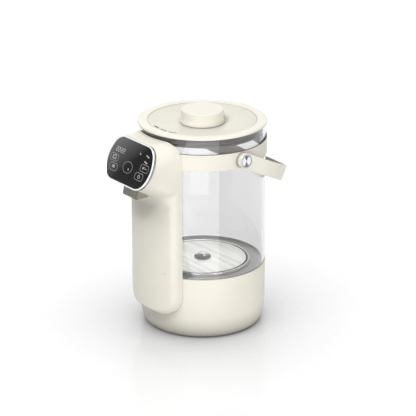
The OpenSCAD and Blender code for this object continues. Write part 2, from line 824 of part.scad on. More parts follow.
module outlet_hose() {
    z0 = pump_z + pump_r + port_len - 6;
    top = spout_top_z + barb_len;
    color([0.9, 0.9, 0.88]) tube([[pump_x, out_port_y, z0], [pump_x, out_port_y, z0 + 3],
        [pump_x, out_port_y, z0 + 6], [pump_x, out_port_y, z0 + 9],
        [pump_x, out_port_y - 10, pass_z + 2], [pump_x, hose_y + 12, pass_z + 4],
        [pump_x, hose_y + 2, pass_z + 6], [pump_x, hose_y, pass_z + 16],
        [pump_x, hose_y, (pass_z + head_z0) / 2], [pump_x, hose_y, head_z0 - 10],
        [pump_x, hose_y, top - 8], [pump_x + 1, hose_y - 1, top + 4],
        [pump_x + 4, hose_y - 7, top + 11], [pump_x + 8, spout_y + 5, top + 10],
        [0, spout_y, top + 4], [0, spout_y, top - 1], [0, spout_y, top - 5]],
        hose_r, port_r + run, [1, 0, 0]);
}

module at_pump() {
    translate([pump_x, pump_y, pump_z]) children();
}

// Cup of the pump, open towards its cap, with the outlet port on its rim
module pump_body() {
    color([0.9, 0.9, 0.9]) difference() {
        union() {
            at_pump() along_x(-pump_len / 2, pump_len / 2, pump_r);
            translate([pump_x, out_port_y, pump_z])
                cylinder(r = port_r, h = pump_r + port_len);
        }
        at_pump() along_x(-pump_len / 2 - eps, pump_len / 2 - pump_wall, pump_r - pump_wall);
        at_pump() along_x(0, pump_len, shaft_r + run);
        translate([pump_x, out_port_y, pump_z]) cylinder(r = port_bore_r,
            h = pump_r + port_len + eps);
    }
}

// Cap of the pump with the inlet port at its centre
module pump_cap() {
    color([0.85, 0.85, 0.85]) at_pump() difference() {
        union() {
            along_x(-pump_len / 2 - 2, -pump_len / 2, pump_r);
            along_x(-pump_len / 2, -pump_len / 2 + 1.5, pump_r - pump_wall - run);
            along_x(-pump_len / 2 - port_len, -pump_len / 2, feed_port_r);
        }
        along_x(-pump_len, 0, feed_port_r - 1);
    }
}

// Impeller on the motor's shaft: a hub and disc with straight blades
module pump_impeller() {
    blades = 6;
    hub_r = impeller_r * 0.31;
    disc_x = pump_len / 2 - 2 * pump_wall;
    disc_t = pump_len * 0.11;
    blade_t = disc_t * 0.8;
    color([0.25, 0.30, 0.35]) at_pump() {
        along_x(-2 * disc_t, disc_x, hub_r);
        along_x(disc_x - disc_t, disc_x, impeller_r);
        along_x(0, pump_len / 2 + 2 * pump_wall, shaft_r);
        for (i = [0:blades - 1]) rotate([360 * i / blades, 0, 0])
            translate([-disc_t, hub_r - 1, -blade_t / 2])
                cube([disc_x, impeller_r - hub_r + 0.5, blade_t]);
    }
}

module pump_motor() {
    x0 = pump_len / 2;
    color(steel) at_pump() difference() {
        union() {
            along_x(x0, x0 + motor_len, motor_r);
            along_x(x0 + motor_len, x0 + motor_len + 2, 4);
        }
        along_x(x0 - eps, x0 + 6, shaft_r + run);
    }
}

// Saddle on the bottom cover that the motor lies in
module pump_saddle() {
    x0 = pump_x + pump_len / 2 + 3;
    w = 22;
    color([0.9, 0.9, 0.9]) difference() {
        translate([x0, pump_y - w / 2, cover_z]) cube([motor_len - 6, w, pump_rise - 4]);
        at_pump() along_x(0, pump_len + 2 * motor_len, motor_r + 0.1);
    }
}

module main_board() {
    color(board_green) difference() {
        translate([-board_w / 2, board_y0, board_z]) cube([board_w, board_d, board_t]);
        for (x = [-1, 1], y = [0, 1]) translate([x * (board_w / 2 - post_in),
            board_y0 + post_in + y * (board_d - 2 * post_in), board_z - eps])
            cylinder(r = 1.6, h = board_t + 2 * eps);
    }
}

module board_screws() {
    color(steel) for (x = [-1, 1], y = [0, 1]) translate([x * (board_w / 2 - post_in),
        board_y0 + post_in + y * (board_d - 2 * post_in), board_top]) {
        cylinder(r = 2.6, h = 1.6);
        translate([0, 0, 1 - post_h]) cylinder(r = 1.05, h = post_h);
    }
}

module transformer() {
    w = transformer_w;
    coil = board_d * 0.5;
    core = board_d * 0.41;
    color([0.75, 0.65, 0.35]) translate([transformer_x, parts_y - core / 2, board_top]) {
        cube([w, core, w * 0.8]);
        translate([w * 0.1, (core - coil) / 2, w * 0.2]) cube([w * 0.8, coil, w * 0.4]);
    }
}

module relay() {
    w = board_w * 0.28;
    color([0.15, 0.25, 0.55]) translate([relay_x, parts_y, board_top])
        cube([w, board_d * 0.27, w * 0.75]);
}

module capacitors() {
    r = board_d * 0.09;
    color([0.1, 0.1, 0.12]) for (i = [0:2])
        translate([relay_x + 2 + i * (2 * r + 1), parts_y - 2 * r, board_top])
            cylinder(r = r, h = (3.5 - i / 2) * r);
}

socket_h = 7;
module board_sockets() {
    color("white") for (x = [socket_x, ribbon_x])
        translate([x - ribbon_w / 2, board_y0 + 0.5, board_top])
            cube([ribbon_w, socket_d, socket_h]);
}

module buzzer() {
    r = board_d * 0.13;
    color([0.1, 0.1, 0.1]) translate([transformer_x - r - 2, parts_y + 4, board_top])
        difference() {
            cylinder(r = r, h = r * 1.2);
            translate([0, 0, r * 0.9]) cylinder(r = r / 6, h = r);
        }
}

// Socket for a detachable lead: flange, box and an open recess
inlet_recess = 16;
module power_inlet() {
    y1 = inlet_face_y + inlet_flange_t;
    y0 = y1 - inlet_recess - 2;
    w = inlet_w - 6;
    h = inlet_h - 5;
    color([0.12, 0.12, 0.12]) difference() {
        union() {
            translate([-inlet_w / 2, inlet_face_y, inlet_z - inlet_h / 2])
                cube([inlet_w, inlet_flange_t, inlet_h]);
            translate([-w / 2, y0, inlet_z - h / 2]) cube([w, y1 - y0, h]);
        }
        translate([-w / 2 + 1.6, y1 - inlet_recess, inlet_z - h / 2 + 1.6])
            cube([w - 3.2, inlet_recess + eps, h - 3.2]);
        for (p = pin_spots) translate([p[0] - 2, y0 - eps, inlet_z + p[1] - 1])
            cube([4, 4, 2]);
    }
}

// Places of the three flat pins, across and up
pin_spots = [[-7, -2], [0, 2], [7, -2]];
module inlet_pins() {
    y1 = inlet_face_y + inlet_flange_t;
    color("gold") for (p = pin_spots)
        translate([p[0] - 1.95, y1 - inlet_recess - 8, inlet_z + p[1] - 0.95])
            cube([3.9, 18, 1.9]);
}

// Flat ribbon from the main board through the column to the back of the display
module display_ribbon() {
    t = 1;
    y_board = board_y0 + socket_d / 2;
    z_low = board_top + socket_h;
    top = panel_z - 13;
    up = (top - panel_z + carrier_floor * sin(panel_tilt)) / cos(panel_tilt);
    y_end = panel_y + up * sin(panel_tilt) + carrier_floor * cos(panel_tilt) + fit;
    color([0.8, 0.8, 0.82]) translate([ribbon_x - ribbon_w / 2, 0, 0]) {
        translate([0, y_board - t / 2, z_low]) cube([ribbon_w, t, pass_z - z_low]);
        translate([0, ribbon_y - t / 2, pass_z]) cube([ribbon_w, y_board - ribbon_y + t, t]);
        translate([0, ribbon_y - t / 2, pass_z]) cube([ribbon_w, t, top + t - pass_z]);
        translate([0, y_end, top]) cube([ribbon_w, ribbon_y - y_end, t]);
    }
}

// Leads from the power inlet's pins to the main board
module mains_leads() {
    y0 = inlet_face_y + inlet_flange_t - inlet_recess - 8;
    color([0.45, 0.25, 0.15]) for (p = pin_spots)
        tube([[p[0], y0, inlet_z + p[1]], [p[0], y0 - 2, inlet_z + p[1]],
            [p[0], y0 - 5, inlet_z + p[1] - 1], [p[0], y0 - 9, inlet_z + p[1] - 8],
            [p[0], mains_y, board_top + 8], [p[0], mains_y, board_top + 3],
            [p[0], mains_y, board_top]], lead_r, 0, [1, 0, 0]);
}

// Leads from the main board to the heater's cold ends
module heater_leads() {
    a = heater_gap / 2 + 4;
    x = heater_r * sin(a);
    y = heater_r * cos(a);
    z = pad_z - heater_tube_r - heater_end_h;
    color([0.75, 0.72, 0.65]) for (s = [-1, 1])
        tube([[s * x, y, z], [s * x, y, z - 4], [s * (x + 1), y - 3, z - 12],
            [s * (x + 2), lead_y, board_top + 14], [s * (x + 2), lead_y, board_top + 3],
            [s * (x + 2), lead_y, board_top]], lead_r, 0, [1, 0, 0]);
}

// Ring of the lid: a rounded edge that slopes in to the dish
vent_count = 3;
module lid_rim() {
    edge = 1.2;
    slope_r = dish_r + 2.5;
    floor_t = 1.4;
    color(cream) difference() {
        rotate_extrude() polygon(concat([[dish_r - 4, seat_z], [lid_r - 0.6, seat_z],
            [lid_r, seat_z + 0.6]], arc([lid_r - edge, lid_top_z - edge], edge, 0, 90, 4),
            [[slope_r, lid_top_z], [dish_r, lid_top_z - 0.8], [dish_r, seat_z + floor_t],
                [dish_r - 4, seat_z + floor_t]]));
        vent_slots();
    }
}

// Slots for the steam at the front of the lid, three in a row, a little towards +X
vent_turn = 5.7;
module vent_slots() {
    for (i = [0:vent_count - 1]) rotate(vent_turn + (i - (vent_count - 1) / 2) * 1.27 * vent_angle)
        rotate(-90 - vent_angle / 2) rotate_extrude(angle = vent_angle)
            translate([dish_r - 4.7, seat_z - eps]) square([2.4, lid_t + 2 * eps]);
}

// Sloping dish between the lid's rim and its knob
knob_screw_r = 2;
dish_z = lid_top_z - dish_drop;
dish_t = 1.2;
module lid_dish() {
    color(cream) difference() {
        rotate_extrude() polygon([[dish_r - 0.35, lid_top_z - 0.9], [knob_r - 3, dish_z],
            [knob_screw_r + 1, dish_z], [knob_screw_r + 1, dish_z - dish_t],
            [knob_r - 3, dish_z - dish_t],
            [dish_r - 4.3, seat_z + 1.5], [dish_r - 0.35, seat_z + 1.5]]);
        vent_slots();
    }
}

module lid_knob() {
    edge = 1.4;
    foot = knob_r + 0.8;
    color(cream) rotate_extrude() polygon([[knob_screw_r + run, dish_z], [knob_r - 4, dish_z],
        [knob_r - 4, dish_z + 0.6], [foot - 2, dish_z + 0.6], [foot, dish_z + 1.2],
        [knob_r - 0.3, dish_z + knob_h / 2], [knob_r, dish_z + knob_h - edge],
        [knob_r - edge, dish_z + knob_h - 0.4], [knob_r - 4, dish_z + knob_h],
        [0, dish_z + knob_h], [0, dish_z + knob_h / 2],
        [knob_screw_r + run, dish_z + knob_h / 2]]);
}

// Plug under the lid: a shallow cup that hangs into the glass
plug_r = glass_in - 2.5;
plug_t = 1.6;
module lid_plug() {
    t = plug_t;
    color(cream) difference() {
        union() {
            difference() {
                translate([0, 0, seat_z - plug_h]) cylinder(r = plug_r, h = plug_h);
                translate([0, 0, seat_z - plug_h + t]) cylinder(r = plug_r - t, h = plug_h);
            }
            translate([0, 0, seat_z - plug_h]) cylinder(r = 5,
                h = dish_z - dish_t - seat_z + plug_h);
        }
        for (a = [-40:16:40]) rotate(-90 + a) translate([plug_r - 12, -3, seat_z - plug_h - eps])
            cube([6, 6, t + 2 * eps]);
        translate([0, 0, seat_z - plug_h - eps])
            cylinder(r = knob_screw_r + fit, h = plug_h + 2 * eps);
    }
}

// Silicone ring round the plug with two lips that touch the glass
module plug_seal() {
    r0 = plug_r + run;
    lip = glass_in - fit;
    z = seat_z - plug_h;
    color(silicone) rotate_extrude() polygon([[r0, z + 0.5], [lip - 0.8, z + 0.5],
        [lip, z + 1.6], [lip - 1, z + 2.6], [lip - 1, z + 4.4], [lip, z + 5.4],
        [lip - 0.8, z + 6.5], [r0, z + 6.5]]);
}

// Baffle inside the lid that turns the steam back
baffle_w = 9;
baffle_h = 5.5;
baffle_wall = 1.5;
module steam_baffle() {
    color(silicone) rotate(-90 - 32) rotate_extrude(angle = 64)
        translate([plug_r - 16.5, seat_z - plug_h + plug_t]) difference() {
            square([baffle_w, baffle_h]);
            translate([baffle_wall, baffle_wall]) square([baffle_w, baffle_h - 2 * baffle_wall]);
        }
}

module knob_screw() {
    z0 = seat_z - plug_h;
    head_h = 1.6;
    color(steel) {
        translate([0, 0, z0 - head_h]) cylinder(r = 4.5, h = head_h);
        translate([0, 0, z0 - head_h / 2])
            cylinder(r = knob_screw_r, h = dish_z + knob_h / 2 - 0.5 - z0 + head_h / 2);
    }
}

// Groove round the eye that lets the strap swing from one stop to the other
module stop_groove(x) {
    room = asin((stop_r + fit) / stop_at);
    translate([x - eps, 0, 0]) rotate([0, 90, 0]) rotate(strap_drop - strap_swing - room)
        rotate_extrude(angle = strap_swing + 2 * room)
            translate([stop_at - stop_r - fit, 0])
                square([2 * (stop_r + fit), stop_out + 0.3 + eps]);
}

// Strap of the handle: a flat U with a round eye at each end
module handle_strap() {
    out_r = strap_x1;
    in_r = strap_x0;
    color(cream) translate([0, 0, pivot_z]) rotate([-strap_drop, 0, 0]) difference() {
        union() {
            translate([0, 0, -strap_w / 2]) linear_extrude(strap_w) difference() {
                union() {
                    translate([0, strap_straight]) circle(r = out_r, $fn = 180);
                    translate([-out_r, 0]) square([2 * out_r, strap_straight]);
                }
                translate([0, strap_straight]) circle(r = in_r, $fn = 180);
                translate([-in_r, -eps]) square([2 * in_r, strap_straight + eps]);
                translate([-2 * out_r, -2 * out_r]) square([4 * out_r, 2 * out_r]);
            }
            for (s = [0, 1]) mirror([s, 0, 0]) along_x(in_r, out_r, strap_w / 2);
        }
        for (s = [0, 1]) mirror([s, 0, 0]) {
            along_x(in_r - eps, out_r + eps, shoulder_r + run);
            along_x(out_r - cap_sunk, out_r + eps, cap_r + fit);
            stop_groove(in_r);
        }
    }
}

base_shell();
bottom_cover();
foot_ring();
bottom_screws();
heating_plate();
plate_seal();
heater_pad();
heater_element();
thermostat();
water_sensor();
outlet_fitting();
outlet_strainer();
glass_cylinder();
collar();
pivot_screws();
column_shell();
column_back();
column_screws();
panel_bezel();
panel_glass();
display_carrier();
display_board();
digit_display();
touch_springs();
spout_block();
spout_nozzle();
inlet_hose();
outlet_hose();
pump_body();
pump_cap();
pump_impeller();
pump_motor();
pump_saddle();
main_board();
transformer();
relay();
capacitors();
board_sockets();
buzzer();
board_screws();
power_inlet();
inlet_pins();
display_ribbon();
mains_leads();
heater_leads();
lid_rim();
lid_dish();
lid_knob();
lid_plug();
plug_seal();
steam_baffle();
knob_screw();
handle_strap();
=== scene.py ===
"""Looks of a hot water dispenser: glass vessel, lid, touch column and carry handle."""
import math

import bmesh
import bpy
import numpy as np
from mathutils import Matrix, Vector


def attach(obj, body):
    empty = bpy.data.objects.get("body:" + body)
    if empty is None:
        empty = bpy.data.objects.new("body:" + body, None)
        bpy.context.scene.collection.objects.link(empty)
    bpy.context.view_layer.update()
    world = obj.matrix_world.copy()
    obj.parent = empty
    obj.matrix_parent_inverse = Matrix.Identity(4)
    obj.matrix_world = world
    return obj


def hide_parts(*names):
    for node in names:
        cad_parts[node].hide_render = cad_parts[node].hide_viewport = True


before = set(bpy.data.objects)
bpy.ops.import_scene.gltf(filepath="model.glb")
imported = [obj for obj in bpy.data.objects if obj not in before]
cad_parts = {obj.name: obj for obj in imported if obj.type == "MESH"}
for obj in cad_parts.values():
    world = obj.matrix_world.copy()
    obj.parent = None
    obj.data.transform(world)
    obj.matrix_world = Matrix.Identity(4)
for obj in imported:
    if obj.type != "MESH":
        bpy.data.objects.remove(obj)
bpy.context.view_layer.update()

MM = 0.001
QUARTER = math.pi / 2
BLACK = (0, 0, 0)
SQUARE = np.array([(-1, -1), (1, -1), (1, 1), (-1, 1)])

# Sizes in millimetres, as in the part's source
BASE_R, BASE_IN, RIM_Z, TURN_H, TURN_W, FOOT_H, WALL = 80.0, 77.0, 81.0, 34.0, 8.0, 1.5, 3.0
RIM_EDGE, SHELF_R, SHELF_Z0, SHELF_Z1 = 0.6, 64.6, 73.2, 76.2
OPEN_R, OPEN_Z, LEDGE_Z = 66.0, 6.0, 4.0
INLET_Z, INLET_W, INLET_H, FLAT_Y, FLAT_W, FLAT_H = 41.0, 14.3, 10.3, 77.5, 40.0, 13.5
GLASS_R, GLASS_IN, SEAT_Z = 79.5, 76.5, 264.7
DISC_R, DISC_Z, FLANGE_Z, GROOVE_R, HUB_R = 60.6, 82.2, 77.2, 56.0, 8.2
COLLAR_Z0, COLLAR_Z1, COLLAR_R, COLLAR_IN = 224.55, 246.2, 81.2, 79.7
PIVOT_Z, PIVOT_R, BOSS_R, BOSS_X, BOSS_ROOT = 235.375, 4.0, 9.9, 86.4, 80.6
STRAP_X0, STRAP_X1, STRAP_W, STRAP_STRAIGHT, STRAP_DROP = 86.6, 89.9, 19.5, 27.0, 26.0
LID_R, LID_TOP, DISH_R, DISH_Z, KNOB_R, KNOB_H = 81.6, 267.7, 68.5, 263.0, 27.1, 17.8
PLUG_R, PLUG_Z, PLUG_WALL, LIP_Z, DISH_TOP = 74.0, 252.7, 1.6, 255.2, 266.25
SLOT_R0, SLOT_R1, SLOT_STEP, SLOT_HALF, SLOT_TURN = 63.8, 66.2, 13.2, 5.2, 5.7
COL_W, COL_R, COL_Z, COL_EDGE, COL_LOW_R = 46.2, 91.0, 32.0, 6.5, 22.0
HEAD_TOP_R, HEAD_LOW_R, HEAD_Z0, HEAD_Z1, HEAD_Y, HOLLOW_R = 22.0, 20.0, 181.2, 259.2, -76.0, 14.0
BODY_GAP, COLLAR_GAP, SKIN_T = 80.3, 0.3, 2.4
PILOT_X, PILOT_Z, PILOT_R = 34.5, 89.1, 0.6
TILT = math.radians(25.0)
PANEL_C = np.array([0.0, -111.8, 231.9])
PANEL_N = np.array([0.0, -math.cos(TILT), math.sin(TILT)])
PANEL_U = np.array([0.0, math.sin(TILT), math.cos(TILT)])
PANEL_W, PANEL_H, PANEL_SIDE_R, PANEL_CORNER_R = 43.8, 26.8, 36.0, 18.0
BEZEL_W, BEZEL_BACK, PANEL_T = 1.9, 4.0, 2.0
SPOUT_W, SPOUT_Y, SPOUT_D, SPOUT_Z, SPOUT_TOP = 15.5, -103.0, 18.0, 187.4, 205.4
SPOUT_LEAN, NOZZLE_R = 0.23, 6.05

# Gap left where pieces touch, place of the prints out of the glass, start of a turned outline
TOUCH, PRINT_IN, PRINT_OUT, AXIS = 0.02, -0.02, 0.06, 0.01


# Materials
class Graph:
    """Node tree of a material or the world, built by short calls."""

    def __init__(self, owner, shader="Principled BSDF"):
        owner.use_nodes = True
        self.owner, self.tree = owner, owner.node_tree
        self.shader = self.tree.nodes[shader]

    def put(self, socket, value):
        """Links an output of another node, or sets a colour or number on the socket itself."""
        if isinstance(value, bpy.types.NodeSocket):
            self.tree.links.new(value, socket)
        elif socket.type == "RGBA":
            socket.default_value = (*value, 1)
        else:
            socket.default_value = value

    def wired(self, made, output, inputs):
        """Sets the inputs of a node and gives one of its outputs."""
        for name, value in dict(inputs).items():
            self.put(made.inputs[name], value)
        return made.outputs[output]

    def node(self, kind, output, inputs=()):
        return self.wired(self.tree.nodes.new(kind), output, inputs)

    def dress(self, **sockets):
        """Sets inputs of the shader; an underscore in a name stands for a space."""
        for name, value in sockets.items():
            self.put(self.shader.inputs[name.replace("_", " ")], value)

    def math(self, operation, *values):
        made = self.tree.nodes.new("ShaderNodeMath")
        made.operation = operation
        return self.wired(made, "Value", enumerate(values))

    def vector(self, operation, *values):
        made = self.tree.nodes.new("ShaderNodeVectorMath")
        made.operation = operation
        output = "Value" if operation in ("LENGTH", "DOT_PRODUCT") else "Vector"
        return self.wired(made, output, enumerate(values))

    def part(self, vector, axis):
        return self.node("ShaderNodeSeparateXYZ", axis, {"Vector": vector})

    def place(self):
        """Place on the piece, in its own axes and metres."""
        return self.node("ShaderNodeTexCoord", "Object")

    def along(self, axis):
        return self.part(self.place(), axis)

    def away(self, spot, axes):
        """Distance from the axis whose entry in axes is zero."""
        return self.vector("LENGTH", self.vector("MULTIPLY", spot, axes))

    def stretched(self, scale, turn=0.0):
        """Place turned about z and stretched, for a grain that runs one way."""
        return self.node("ShaderNodeMapping", "Vector",
                         {"Vector": self.place(), "Scale": scale, "Rotation": (0, 0, turn)})

    def noise(self, scale, detail=2.0, rough=0.5, spot=None):
        return self.node("ShaderNodeTexNoise", "Fac",
                         {"Vector": spot or self.place(), "Scale": scale, "Detail": detail,
                          "Roughness": rough})

    def spread(self, source, low=0.0, high=1.0, lo_in=0.3, hi_in=0.7):
        """Maps the middle of a noise, or another range, to the range from low to high."""
        return self.node("ShaderNodeMapRange", "Result",
                         {"Value": source, "From Min": lo_in, "From Max": hi_in, "To Min": low,
                          "To Max": high})

    def step(self, source, start, end, low=0.0, high=1.0):
        """Goes from low to high between two lengths in millimetres."""
        return self.spread(source, low, high, start * MM, end * MM)

    def uneven(self, low, high, scale, detail=3.0):
        """Roughness that wanders between two values."""
        return self.spread(self.noise(scale, detail), low, high)

    def mix(self, share, first, second):
        """Colour between two others."""
        made = self.tree.nodes.new("ShaderNodeMix")
        made.data_type = "RGBA"
        return self.wired(made, "Result", {"Factor": share, "A": first, "B": second})

    def drift(self, source, color, share):
        """Colour that is darker by a share where the source is low."""
        return self.mix(self.spread(source), tuple(c * (1 - share) for c in color), color)

    def near(self, reach, own=False):
        """Openness of the place: 1 in the open, less where surfaces are within reach."""
        made = self.tree.nodes.new("ShaderNodeAmbientOcclusion")
        made.samples, made.only_local = 8, own
        return self.wired(made, "AO", {"Distance": reach})

    def shade(self, paint, reach, low, start, end, own=False):
        """Colour darkened down to low as openness falls from end to start."""
        return self.mix(self.spread(self.near(reach, own), low, 1.0, start, end), BLACK, paint)

    def bump(self, height, strength, depth):
        """Relief of a depth in millimetres."""
        self.dress(Normal=self.node("ShaderNodeBump", "Normal", {
            "Height": height, "Strength": strength, "Distance": depth * MM}))


def material(name):
    return Graph(bpy.data.materials.new(name))


def plastic(name, color, rough=0.4, grain=900.0, depth=0.04, vary=0.03, wander=0.06, reach=0.0,
            low=0.35, over=None):
    """Moulded plastic: fine texture from the tool, slow colour drift and uneven gloss.

    Within reach of other surfaces it is darker, down to low: painted shade where they close in.
    A function given as over changes the colour once more."""
    g = material(name)
    paint = g.drift(g.noise(22.0, 3.0), color, vary)
    if reach:
        paint = g.shade(paint, reach, low, 0.0, 0.9)
    if over:
        paint = over(g, paint)
    g.dress(Base_Color=paint, Roughness=g.uneven(rough - wander, rough + wander, 60.0, 4.0))
    g.bump(g.noise(grain), 0.25, depth)
    return g.owner


def metal(name, color, rough=0.2, grain=300.0, depth=0.02, vary=0.08, over=None):
    """Plain metal with a fine grain that shows in its colour, gloss and relief."""
    g = material(name)
    lines = g.noise(grain, 3.0, 0.6)
    paint = g.drift(lines, color, vary)
    if over:
        paint = over(g, paint)
    g.dress(Base_Color=paint, Roughness=g.spread(lines, rough - 0.05, rough + 0.05),
            Metallic=1.0)
    g.bump(lines, 0.2, depth)
    return g.owner


def rubber(name, color, rough=0.6):
    return plastic(name, color, rough, 500.0, 0.06, 0.08, 0.08)


def head_shade(g, paint):
    """Shade of the column in its own hollow under the head."""
    return g.shade(paint, 0.10, 0.25, 0.55, 0.99, own=True)


def collar_shades(g, paint):
    """Painted shade: a dark line along the collar's top edge, where it meets the glass, and
    darker walls on its bosses.
    """
    across = g.math("ABSOLUTE", g.along("X"))
    edge_shade = g.step(g.along("Z"), COLLAR_Z1 - 0.6, COLLAR_Z1 - 0.4, 1.0, 0.20)
    root = g.step(across, COLLAR_R + 0.1, COLLAR_R + 0.4)
    face = g.step(across, BOSS_X - 0.9, BOSS_X - 0.5)
    wall = g.spread(g.math("SUBTRACT", root, face), 1.0, 0.52, 0.0, 1.0)
    return g.mix(g.math("MINIMUM", edge_shade, wall), BLACK, paint)


def groove_shade(g, paint):
    """Painted shade: the groove between the brushed disc and its polished lip is coloured near
    black.
    """
    away = g.away(g.place(), (1, 1, 0))
    return g.mix(g.step(away, GROOVE_R + 1.8, GROOVE_R + 2.3), (0.05, 0.05, 0.045), paint)


def glass_material():
    """Clear drawn glass with faint upright waviness and a slight smoky tint."""
    g = material("vessel_glass")
    g.dress(Base_Color=(0.805, 0.805, 0.806), Transmission_Weight=1.0, IOR=1.47,
            Roughness=g.uneven(0.0, 0.02, 40.0, 2.0))
    g.bump(g.noise(9.0, 1.0, spot=g.stretched((1, 1, 0.15))), 0.02, 0.2)
    return g.owner


def polished(name, paint, low, high, scale):
    """Bright metal whose colour a function makes, with a roughness from low to high."""
    g = material(name)
    g.dress(Base_Color=paint(g), Roughness=g.uneven(low, high, scale), Metallic=1.0)
    return g.owner


def cap_painted_reflection(g):
    """Turned chrome of the pivot caps, with a painted reflection: a bright bow across the face
    between dark wedges, then a dark ring and a greyer rim.
    """
    spot = g.vector("SUBTRACT", g.place(), (0, 0, PIVOT_Z * MM))
    turn = g.math("ARCTAN2", g.part(spot, "Z"), g.part(spot, "Y"))
    bow = g.math("ABSOLUTE", g.math("SINE", turn))
    face = g.mix(g.spread(bow, 0, 1, 0.80, 0.99), (0.80, 0.80, 0.82), (0.16, 0.16, 0.17))
    away = g.away(spot, (0, 1, 1))
    for edge, ring in ((6.6, (0.13, 0.13, 0.13)), (7.4, (0.62, 0.615, 0.58))):
        face = g.mix(g.step(away, edge, edge + 0.2), face, ring)
    return face


def bezel_painted_reflection(g):
    """Satin chrome round the panel, with a painted reflection: a bright front edge over a wall
    painted darker grey.
    """
    spot = g.vector("SUBTRACT", g.place(), tuple(PANEL_C * MM))
    height = g.step(g.vector("DOT_PRODUCT", spot, tuple(PANEL_N)), -1.2, -0.4)
    return g.mix(height, (0.30, 0.30, 0.30), (0.90, 0.90, 0.90))


def strainer_painted_reflection(g):
    """Polished crown with a painted reflection: its lower band is painted dark, as its own flange
    would show in it.
    """
    height = g.step(g.along("Z"), DISC_Z + 1.9, DISC_Z + 2.5)
    return g.mix(height, (0.04, 0.04, 0.035), (0.88, 0.88, 0.86))


def disc_material():
    """Brushed steel floor: broad slanting streaks over fine lines."""
    g = material("brushed_floor_steel")
    streaks = g.stretched((1.0, 26.0, 1.0), math.radians(12))
    fine, wide = g.noise(45.0, 4.0, spot=streaks), g.noise(9.0, 1.0, spot=streaks)
    g.dress(Base_Color=g.mix(g.spread(wide, 0, 1, 0.35, 0.65), (0.72, 0.716, 0.69),
                             (0.90, 0.896, 0.868)),
            Roughness=g.spread(fine, 0.34, 0.46), Metallic=1.0)
    g.bump(fine, 0.3, 0.02)
    return g.owner


def panel_material():
    """Dark glass over a black print that is greyer towards its upper left."""
    g = material("panel_dark_glass")
    slope = g.math("MULTIPLY_ADD", g.along("X"), -0.90, g.along("Z"))
    dots = g.mix(g.spread(g.noise(2500.0, 1.0)), (0.150, 0.150, 0.151), (0.172, 0.172, 0.173))
    g.dress(Base_Color=g.mix(g.step(slope, 229.0, 287.0), (0.007, 0.007, 0.0075), dots),
            Roughness=g.uneven(0.16, 0.24, 120.0), Specular_IOR_Level=0.14)
    return g.owner


# Creams given a reach take painted shade where other surfaces are near: on the base under the
# column, at the collar, on the lid and round its knob. The column takes painted shade under its
# head.
cream = plastic("cream_shell", (0.868, 0.835, 0.735), 0.42, reach=0.04, low=0.15)
cream_column = plastic("cream_column", (0.868, 0.836, 0.736), 0.42, over=head_shade)
cream_strap = plastic("cream_strap", (0.89, 0.86, 0.765), 0.42)
cream_collar = plastic("cream_collar", (0.83, 0.80, 0.705), 0.42, reach=0.012,
                       over=collar_shades)
cream_lid = plastic("cream_lid", (0.90, 0.872, 0.775), 0.40, reach=0.008)
# The lid's dish is a darker copy of the lid's cream: painted shade over the whole dish.
shaded_cream_dish = plastic("shaded_cream_dish", (0.765, 0.738, 0.648), 0.42, reach=0.012)
cream_knob = plastic("cream_knob", (0.88, 0.85, 0.76), 0.38, reach=0.006)
cream_inner = plastic("cream_inner", (0.80, 0.77, 0.68), 0.5)
grey_silicone = rubber("grey_silicone_skin", (0.40, 0.41, 0.42), 0.42)
ring_grey = plastic("ring_satin_grey", (0.80, 0.80, 0.80), 0.22, 600.0, 0.01, 0.04, 0.05)
plug_grey = plastic("plug_smoked_grey", (0.19, 0.19, 0.185), 0.25, 500.0, 0.02, 0.10)
dark_silicone = rubber("dark_silicone_lip", (0.11, 0.109, 0.105), 0.4)
foot_rubber = rubber("foot_rubber_skin", (0.035, 0.035, 0.036), 0.7)
hose_skin = rubber("hose_skin", (0.78, 0.78, 0.74), 0.35)
lead_skin = rubber("lead_sheath_skin", (0.32, 0.19, 0.11), 0.5)
zinc = metal("zinc_plate", (0.62, 0.63, 0.64), 0.32)
heater_steel = metal("heat_dulled_steel", (0.34, 0.32, 0.30), 0.42, vary=0.25)
cast_aluminium = metal("cast_aluminium", (0.66, 0.66, 0.66), 0.48, 700.0, 0.06)
brass = metal("contact_brass_metal", (0.74, 0.55, 0.24), 0.25)
plain_steel = metal("vessel_steel_turned", (0.70, 0.70, 0.69), 0.16, 60.0)
groove_steel = metal("vessel_steel_lip", (0.74, 0.74, 0.72), 0.14, 60.0, over=groove_shade)
spout_grey = plastic("spout_satin", (0.31, 0.296, 0.25), 0.38)
white_plastic = plastic("white_nylon", (0.80, 0.80, 0.78), 0.5)
dark_plastic = plastic("dark_moulding", (0.02, 0.02, 0.022), 0.42)
pilot_shade_look = plastic("pilot_shadow", (0.36, 0.35, 0.31), 0.5)
# Dark lining for the lid's slots: painted shade.
slot_shade_look = plastic("slot_liner_skin", (0.03, 0.03, 0.028), 0.5)
board_resist = plastic("board_resist", (0.01, 0.10, 0.045), 0.3, 300.0, 0.05, 0.35)
winding = plastic("taped_winding", (0.52, 0.36, 0.07), 0.5, 500.0, 0.1, 0.2)
print_grey = plastic("panel_print", (0.58, 0.58, 0.56), 0.4)
print_dim = plastic("panel_print_line", (0.265, 0.258, 0.245), 0.4)
spun_chrome = polished("cap_chrome_painted_reflection", cap_painted_reflection, 0.10, 0.20, 300.0)
bezel_chrome = polished("bezel_chrome_painted_reflection", bezel_painted_reflection, 0.26, 0.34, 90.0)
strainer_chrome = polished("strainer_chrome_painted_reflection", strainer_painted_reflection, 0.10, 0.20, 200.0)
vessel_glass, floor_steel, panel_glass = glass_material(), disc_material(), panel_material()

